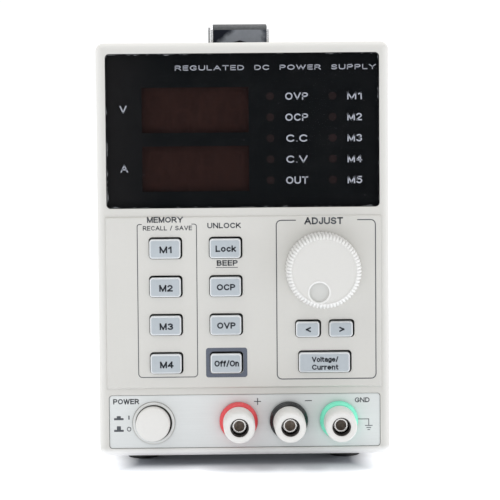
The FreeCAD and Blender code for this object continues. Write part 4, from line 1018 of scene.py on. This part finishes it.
def power_button():
    """A slightly domed round cap that leans a little in its ring."""
    button = Extent("power_button")
    front, back = button.front, button.back
    hole = button.wide / 2 + 0.32
    radius = hole - 0.46
    outside = [(0.02, front), (radius * 0.55, front + 0.06), (radius, front + 0.35), (radius, back)]
    inside = [(radius - 1.3, back), (radius - 1.3, front + 2.0), (0.02, front + 2.0)]
    bm = lathe(bmesh.new(), button.middle, softened(outside, 0.9, 5) + inside, 128)
    for vert in bm.verts:
        lean = (back - (vert.co.y - RIM) / MM) / button.deep
        vert.co.x -= 0.36 * MM * lean
        vert.co.z -= 0.05 * MM * lean
    finish_piece("power_cap", bm, "white", "power_control", "white_plastic", ["power_button"], 40)

    ring_front, outer = PLATE - 0.65, hole + 1.0
    edge = [(hole, PLATE + 0.2), (hole, ring_front), (outer - 0.12, ring_front), (outer, PLATE)]
    rim = softened(edge, 0.2, 3) + [(outer, PLATE + 0.3), (hole, PLATE + 0.3)]
    bm = lathe(bmesh.new(), button.middle, rim, 128, closed=True)
    finish_piece("power_ring", bm, "ring", slot="cream_plastic")


# ---------------- terminals


def terminal(colour):
    """A coloured collar, a screw cap with its dark lining, and the mouth of the plug sleeve."""
    collar, cap = Extent(colour + "_collar"), Extent(colour + "_cap")
    sleeve = Extent("terminal_stems").front

    def turned(part, paint, profile, count=96, **more):
        bm = lathe(bmesh.new(), collar.middle, profile, count, closed=True)
        finish_piece(f"{colour}_{part}", bm, paint, **more)

    front, outer = collar.front, collar.wide / 2
    profile = [
        (3.1, PLATE + 3.5), (4.1, PLATE + 3.5), (4.1, PLATE), (outer, PLATE),
        (outer, front + 2.3), (outer - 0.22, front + 2.15), (outer - 0.22, front + 0.9),
        (outer - 1.0, front), (3.1, front),
    ]
    look = {"stands_for": [colour + "_collar"], "smooth": 40}
    turned("collar_shell", colour, arc_corners(profile, 0.22, 3), 128, **look)

    tip, root, outer = cap.front, cap.back, cap.wide / 2
    grip = colour + "_grip"
    profile = [
        (4.65, root), (outer - 0.15, root), (outer, root - 0.9), (outer - 0.12, tip + 1.5),
        (outer - 0.6, tip), (3.45, tip), (3.45, root - 8.06), (4.65, root - 8.06),
    ]
    look = {"slot": "white_plastic", "stands_for": [colour + "_cap"], "smooth": 45}
    turned("cap_shell", "white", arc_corners(profile, 0.5, 5), 128, body=grip, **look)
    turned("cap_liner", "liner", [
        (3.1, tip + 0.9), (3.46, tip + 0.7), (3.46, root - 8.2), (2.74, root - 8.2),
        (2.74, sleeve + 1.0), (3.1, sleeve + 0.8),
    ], body=grip, slot="black_plastic")

    turned("sleeve_lip", "nickel", [
        (2.62, sleeve + 1.1), (2.62, sleeve), (2.52, sleeve - 0.12),
        (2.36, sleeve - 0.12), (2.30, sleeve), (2.30, sleeve + 1.1),
    ], slot="plated_brass")
    turned("socket_lining", "socket", [
        (2.31, sleeve + 0.05), (2.31, sleeve + 0.35), (1.99, sleeve + 0.5),
        (1.99, sleeve + 7.0), (0.02, sleeve + 7.4), (0.02, sleeve + 2.3),
        (1.1, sleeve + 2.0), (1.86, sleeve + 1.2), (1.90, sleeve + 0.3),
    ], 64, slot="plated_brass")


# ---------------- handle


def handle_clip(name, outer, inward):
    """A chrome end cap: two bright cheeks, a recessed front with a painted reflection and a grained
    top inlay.
    """
    clips = Extent("handle_clips")
    roof, tall, half = clips.foot, clips.tall, clips.wide / 2
    long, cheek, nose = 34.0, 0.90, 6.3
    inner = half - cheek + 0.03

    def station(outline, along, across=0.0, height=0.0):
        return facing((across, roof + height), outline, outer + inward * along)

    crest = [
        (0.0, nose - 0.1), (0.4, nose + 0.3), (2.5, tall - 1.1), (5.0, tall - 0.5),
        (9.0, tall), (long, tall),
    ]
    bm = bmesh.new()
    for across in (cheek / 2 - half, half - cheek / 2):
        loft(bm, [
            station(box_outline(cheek, height, 0.42, 5), along, across, height / 2)
            for along, height in crest
        ])
    finish_piece(name + "_cheeks", bm, "chrome", slot="chrome_trim", stands_for=["handle_clips"])

    low, high = 0.1, nose - 0.25
    face = arc_corners([(-inner, low), (inner, low), (inner, high), (-inner, high)], 0.95)
    bm = loft(bmesh.new(), [station(face, along) for along in (0.42, 0.48, 1.4)])
    finish_piece(name + "_front", bm, "shade", slot="chrome_trim")

    crest = [
        (0.5, nose - 0.28), (1.2, nose + 0.3), (2.5, tall - 1.15), (5.0, tall - 0.6),
        (9.0, tall - 0.15), (long, tall - 0.15),
    ]
    section = box_outline(2 * inner, 0.8, 0.3, 3)
    rings = [station(section, along, height=height - 0.4) for along, height in crest]
    finish_piece(name + "_inlay", loft(bmesh.new(), rings), "vinyl", slot="black_rubber")


def strap_half(name, outer, inward, middle):
    """Half of the strap, from under its clip to the middle, rising from the roof towards the grip; it
    is then taken off its body.
    """
    roof, half = Extent("handle_clips").foot, Extent("handle_strap").wide / 2
    reach, start, count = abs(middle - outer), 2, 60
    rings = []
    for i in range(count + 1):
        along = start + (reach - start) * i / count
        share = eased((along - 36) / 24)
        thick = 2.2 + 1.4 * share
        section = arc_corners([(-half, 0), (half, 0), (half, thick), (-half, thick)], 0.9, 4)
        rings.append(facing((0, roof + 0.6 + 2.5 * share), section, outer + inward * along))
    bm = loft(bmesh.new(), rings)
    piece = finish_piece(name, bm, "vinyl", "case", "black_rubber", ["handle_strap"], 60)
    piece.parent = None
    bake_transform(piece)


def handle():
    """Both clips, both halves of the strap and the ribbed grip between them."""
    clips, strap = Extent("handle_clips"), Extent("handle_strap")
    middle, half = (clips.front + clips.back) / 2, strap.wide / 2
    for end, outer, inward in (("front", clips.front, 1), ("back", clips.back, -1)):
        handle_clip("clip_" + end, outer, inward)
        strap_half("strap_" + end, outer, inward, middle)
    ribs, steps, reach = 11, 8, 17.5
    rings = []
    for i in range(ribs * steps + 1):
        along = reach * (2 * i / (ribs * steps) - 1)
        end = 1 - max(0.0, abs(along) - (reach - 1.0)) ** 2
        swell = 0.28 * end * (0.5 - 0.5 * math.cos(2 * math.pi * i / steps)) + 0.02
        side, low = half + swell, -3.6 - swell
        section = arc_corners([(-side, low), (side, low), (side, swell), (-side, swell)], 1.2, 4)
        rings.append(facing((0, strap.top - 0.02), section, middle + along))
    bm = loft(bmesh.new(), rings)
    finish_piece("strap_grip", bm, "rubber", "strap", "black_rubber", smooth=60)


# ---------------- rear and inside


def fan_wheel():
    """Hub with a pin and seven curved blades."""
    rotor = Extent("fan_rotor")
    front, back = rotor.front, rotor.back - 3.5
    hub = softened([(0.02, front), (17.0, front), (17.0, back), (0.02, back)], 1.2, 4)
    bm = lathe(bmesh.new(), rotor.middle, hub, 96)
    pin = [(0.02, back - 0.5), (1.45, back - 0.5), (1.45, back + 3.4), (0.02, back + 3.4)]
    lathe(bm, rotor.middle, pin, 32)
    deep, blades, stations, spread = back - front, 7, 8, 6
    edge = [(k / spread, 0.45) for k in range(spread + 1)]
    edge += [(share, -thick) for share, thick in reversed(edge)]
    for blade in angles(blades):
        rings = []
        for i in range(stations + 1):
            share = i / stations
            radius, lead = 16.6 + 19.6 * share, blade + 0.30 * share
            chord, pitch = 0.62 - 0.10 * share, deep * (0.80 - 0.18 * share)
            ring = []
            for t, thick in edge:
                a = lead + chord * (t - 0.5)
                camber = 1.6 * math.sin(math.pi * t)
                depth = front + deep * 0.5 + pitch * (t - 0.5) + camber + thick
                depth = min(back - 0.2, max(front + 0.2, depth))
                across, up = rotor.across + radius * math.cos(a), rotor.up + radius * math.sin(a)
                ring.append(at(across, up, depth))
            rings.append(ring)
        loft(bm, rings)
    finish_piece("fan_blades", bm, "moulding", "fan_wheel", "black_plastic", ["fan_rotor"], 40)


def trapezium(top, bottom, half_height, radius):
    """The outline of a D-shaped connector, by half its widths and half its height."""
    low, high = -half_height, half_height
    return arc_corners([(-top, high), (-bottom, low), (bottom, low), (top, high)], radius, 4)


def rear_details():
    """Connector shells and faces, mains pins and the printed words on the rear."""
    card, inlet, face = Extent("interface_card"), Extent("mains_inlet"), Extent("rear_panel").back
    serial, usb_up = (card.across, 34.0), 20.0
    bm = slab(bmesh.new(), serial, trapezium(8.8, 7.4, 4.2, 1.6), face + 3.3, face + 3.47)
    finish_piece("serial_insulator", bm, "switch", slot="black_plastic")
    bm = bmesh.new()
    pin = [(0.02, face + 3.56), (0.5, face + 3.54), (0.62, face + 3.4), (0.02, face + 3.4)]
    for level, count in ((1.4, 5), (-1.4, 4)):
        for i in range(count):
            across = serial[0] + 2.74 * (i - (count - 1) / 2)
            lathe(bm, (across, serial[1] + level), pin, 16)
    finish_piece("serial_contacts", bm, "brass", slot="bright_metal")
    outer, inner = trapezium(9.3, 7.7, 4.7, 1.9), trapezium(8.85, 7.4, 4.25, 1.6)
    bm = stack(bmesh.new(), serial, [
        (outer, face + 0.9), (outer, face + 3.65), (inner, face + 3.65), (inner, face + 3.2),
    ], closed=True)
    finish_piece("serial_shell", bm, "nickel", slot="bright_metal")

    bm = bmesh.new()
    for x, z in ((-7, -2), (7, -2), (0, -7.6)):
        outline = box_outline(2.04, 4.04, 0.3, 2)
        slab(bm, (inlet.across + x, inlet.up + z), outline, face - 14.0, face - 1.96)
    finish_piece("mains_pins", bm, "nickel", slot="plated_brass")

    bm = bmesh.new()
    for words in (
        ("AC INPUT", (inlet.across, inlet.up + 23.0), 2.4, 17.0, 0.36),
        ("115 V", (card.across + 7.5, 63.8), 2.0, 9.5, 0.3),
        ("230 V", (card.across - 7.5, 63.8), 2.0, 9.5, 0.3),
        ("SERIAL", (card.across, serial[1] + 8.9), 1.8, 10.0, 0.28),
        ("USB", (card.across - 12.0, usb_up), 1.8, 5.4, 0.28),
    ):
        write(bm, face, *words, side=-1)
    finish_piece("rear_print", bm, "ink", slot="painted_steel")


def board_parts():
    """Small components standing on the main board."""
    board = Extent("main_board")
    sunk = board.top - 0.1
    bm = bmesh.new()
    for i in range(6):
        outline = box_outline(8.0, 6.0, 0.6, 3)
        levels = (sunk, board.top + 4.5 + i % 3)
        loft(bm, [lying(-36 + 14.4 * i, board.front + 6, outline, up) for up in levels])
    finish_piece("board_relays", bm, "switch", slot="black_plastic")
    bm = bmesh.new()
    for i in range(10):
        rings = []
        for k in range(9):
            waist = round_outline(2.6 - 0.25 * abs(math.sin(math.pi * k / 4)), 24)
            depth = board.front + 38 + 5.0 * (i % 2)
            rings.append(lying(-40 + 8.8 * i, depth, waist, sunk + 9.0 * k / 8))
        loft(bm, rings)
    finish_piece("board_capacitors", bm, "sleeve", slot="can_aluminium")


# ---------------- stage


def floor_material():
    """A pale sweep that glows wherever nothing stands over it, so that shadows turn blue-grey."""
    made = Finish("floor_pale", (0.34, 0.36, 0.40), 0.8, specular=0.02)
    made.vary(400.0, 0.01)
    open_sky = made.node("AmbientOcclusion", {"Distance": 17 * MM}, samples=16)
    # Painted light: beside the case the floor glows even where shaded, so the shadow stays between
    # the feet.
    beside = made.steps(made.math("ABSOLUTE", made.axis("X")), 40 * MM, 50 * MM)
    glow = made.math("POWER", open_sky.outputs["AO"], 1.9)
    glow = made.math("MAXIMUM", glow, made.math("MULTIPLY", beside, 0.85))
    made.feed(made.shader.inputs["Emission Color"], (1, 1, 1, 1))
    made.feed(made.shader.inputs["Emission Strength"], made.math("MULTIPLY", glow, 0.97))
    return made.done()


def stage():
    """The floor, and a world that is white to the camera. To everything else it is a tent,
    bright behind and at the sides and dim in front."""
    mesh = bpy.data.meshes.new("floor")
    reach = 12.0
    corners = [(-reach, -reach, 0), (reach, -reach, 0), (reach, reach, 0), (-reach, reach, 0)]
    mesh.from_pydata(corners, [], [(0, 1, 2, 3)])
    mesh.materials.append(floor_material())
    add("floor", mesh)

    world = bpy.data.worlds.new("studio")
    world.use_nodes = True
    sky = Wiring(world.node_tree)
    toward = sky.node("TexCoord").outputs["Generated"]
    inward = sky.node("SeparateXYZ", {0: toward}).outputs["Y"]
    seen = sky.node("LightPath").outputs["Is Camera Ray"]
    tent = sky.steps(inward, -1.0, 0.1, 0.30, 1.05)
    level = sky.node("Mix", {0: seen, 2: tent, 3: 1.05}).outputs[0]
    background = world.node_tree.nodes["Background"]
    sky.feed(background.inputs["Strength"], level)
    sky.feed(background.inputs["Color"], (1, 1, 1, 1))
    bpy.context.scene.world = world


def softbox(name, place, size, power):
    """A square lamp turned towards the front panel."""
    data = bpy.data.lights.new(name, "AREA")
    data.shape = "RECTANGLE"
    data.size = data.size_y = size
    data.energy = power
    light = add(name, data)
    light.location = place
    aim = Vector((0, -0.1, 0.08)) - Vector(place)
    light.rotation_euler = aim.to_track_quat("-Z", "Y").to_euler()


def lights():
    softbox("key_light", (-0.9, -1.3, 1.6), 1.2, 7)
    softbox("fill_light", (1.4, -0.9, 0.8), 1.4, 3)
    softbox("top_light", (0, 0.0, 1.9), 1.6, 7)
    softbox("back_light", (0.6, 1.6, 1.1), 1.2, 4)


def camera():
    """Eye level with the case's top, a metre ahead and a little left, tipped down."""
    tip, swing, roll = math.radians(4.323), math.radians(1.165), math.radians(-0.459)
    turn = Matrix.Rotation(-swing, 4, "Z") @ Matrix.Rotation(math.pi / 2 - tip, 4, "X")
    data = bpy.data.cameras.new("camera")
    data.lens = 192.4
    data.sensor_width = 36.0
    data.clip_end = 60.0
    eye = add("camera", data)
    place = Matrix.Translation(at(-18.0, 153.9, -1004.3))
    eye.matrix_world = place @ turn @ Matrix.Rotation(roll, 4, "Z")
    bpy.context.scene.camera = eye
    bpy.context.scene.view_settings.view_transform = "Standard"


dress_cad_nodes()
for build in (panel_print, plate_print, window_print, window_mask, window_rim, digit_segments):
    build()
for key_name, key_lines in KEY_LABELS.items():
    key_cap(key_name, key_lines)
for build in (dial, power_button):
    build()
for terminal_colour in ("red", "black", "green"):
    terminal(terminal_colour)
for build in (handle, fan_wheel, rear_details, board_parts, stage, lights, camera):
    build()
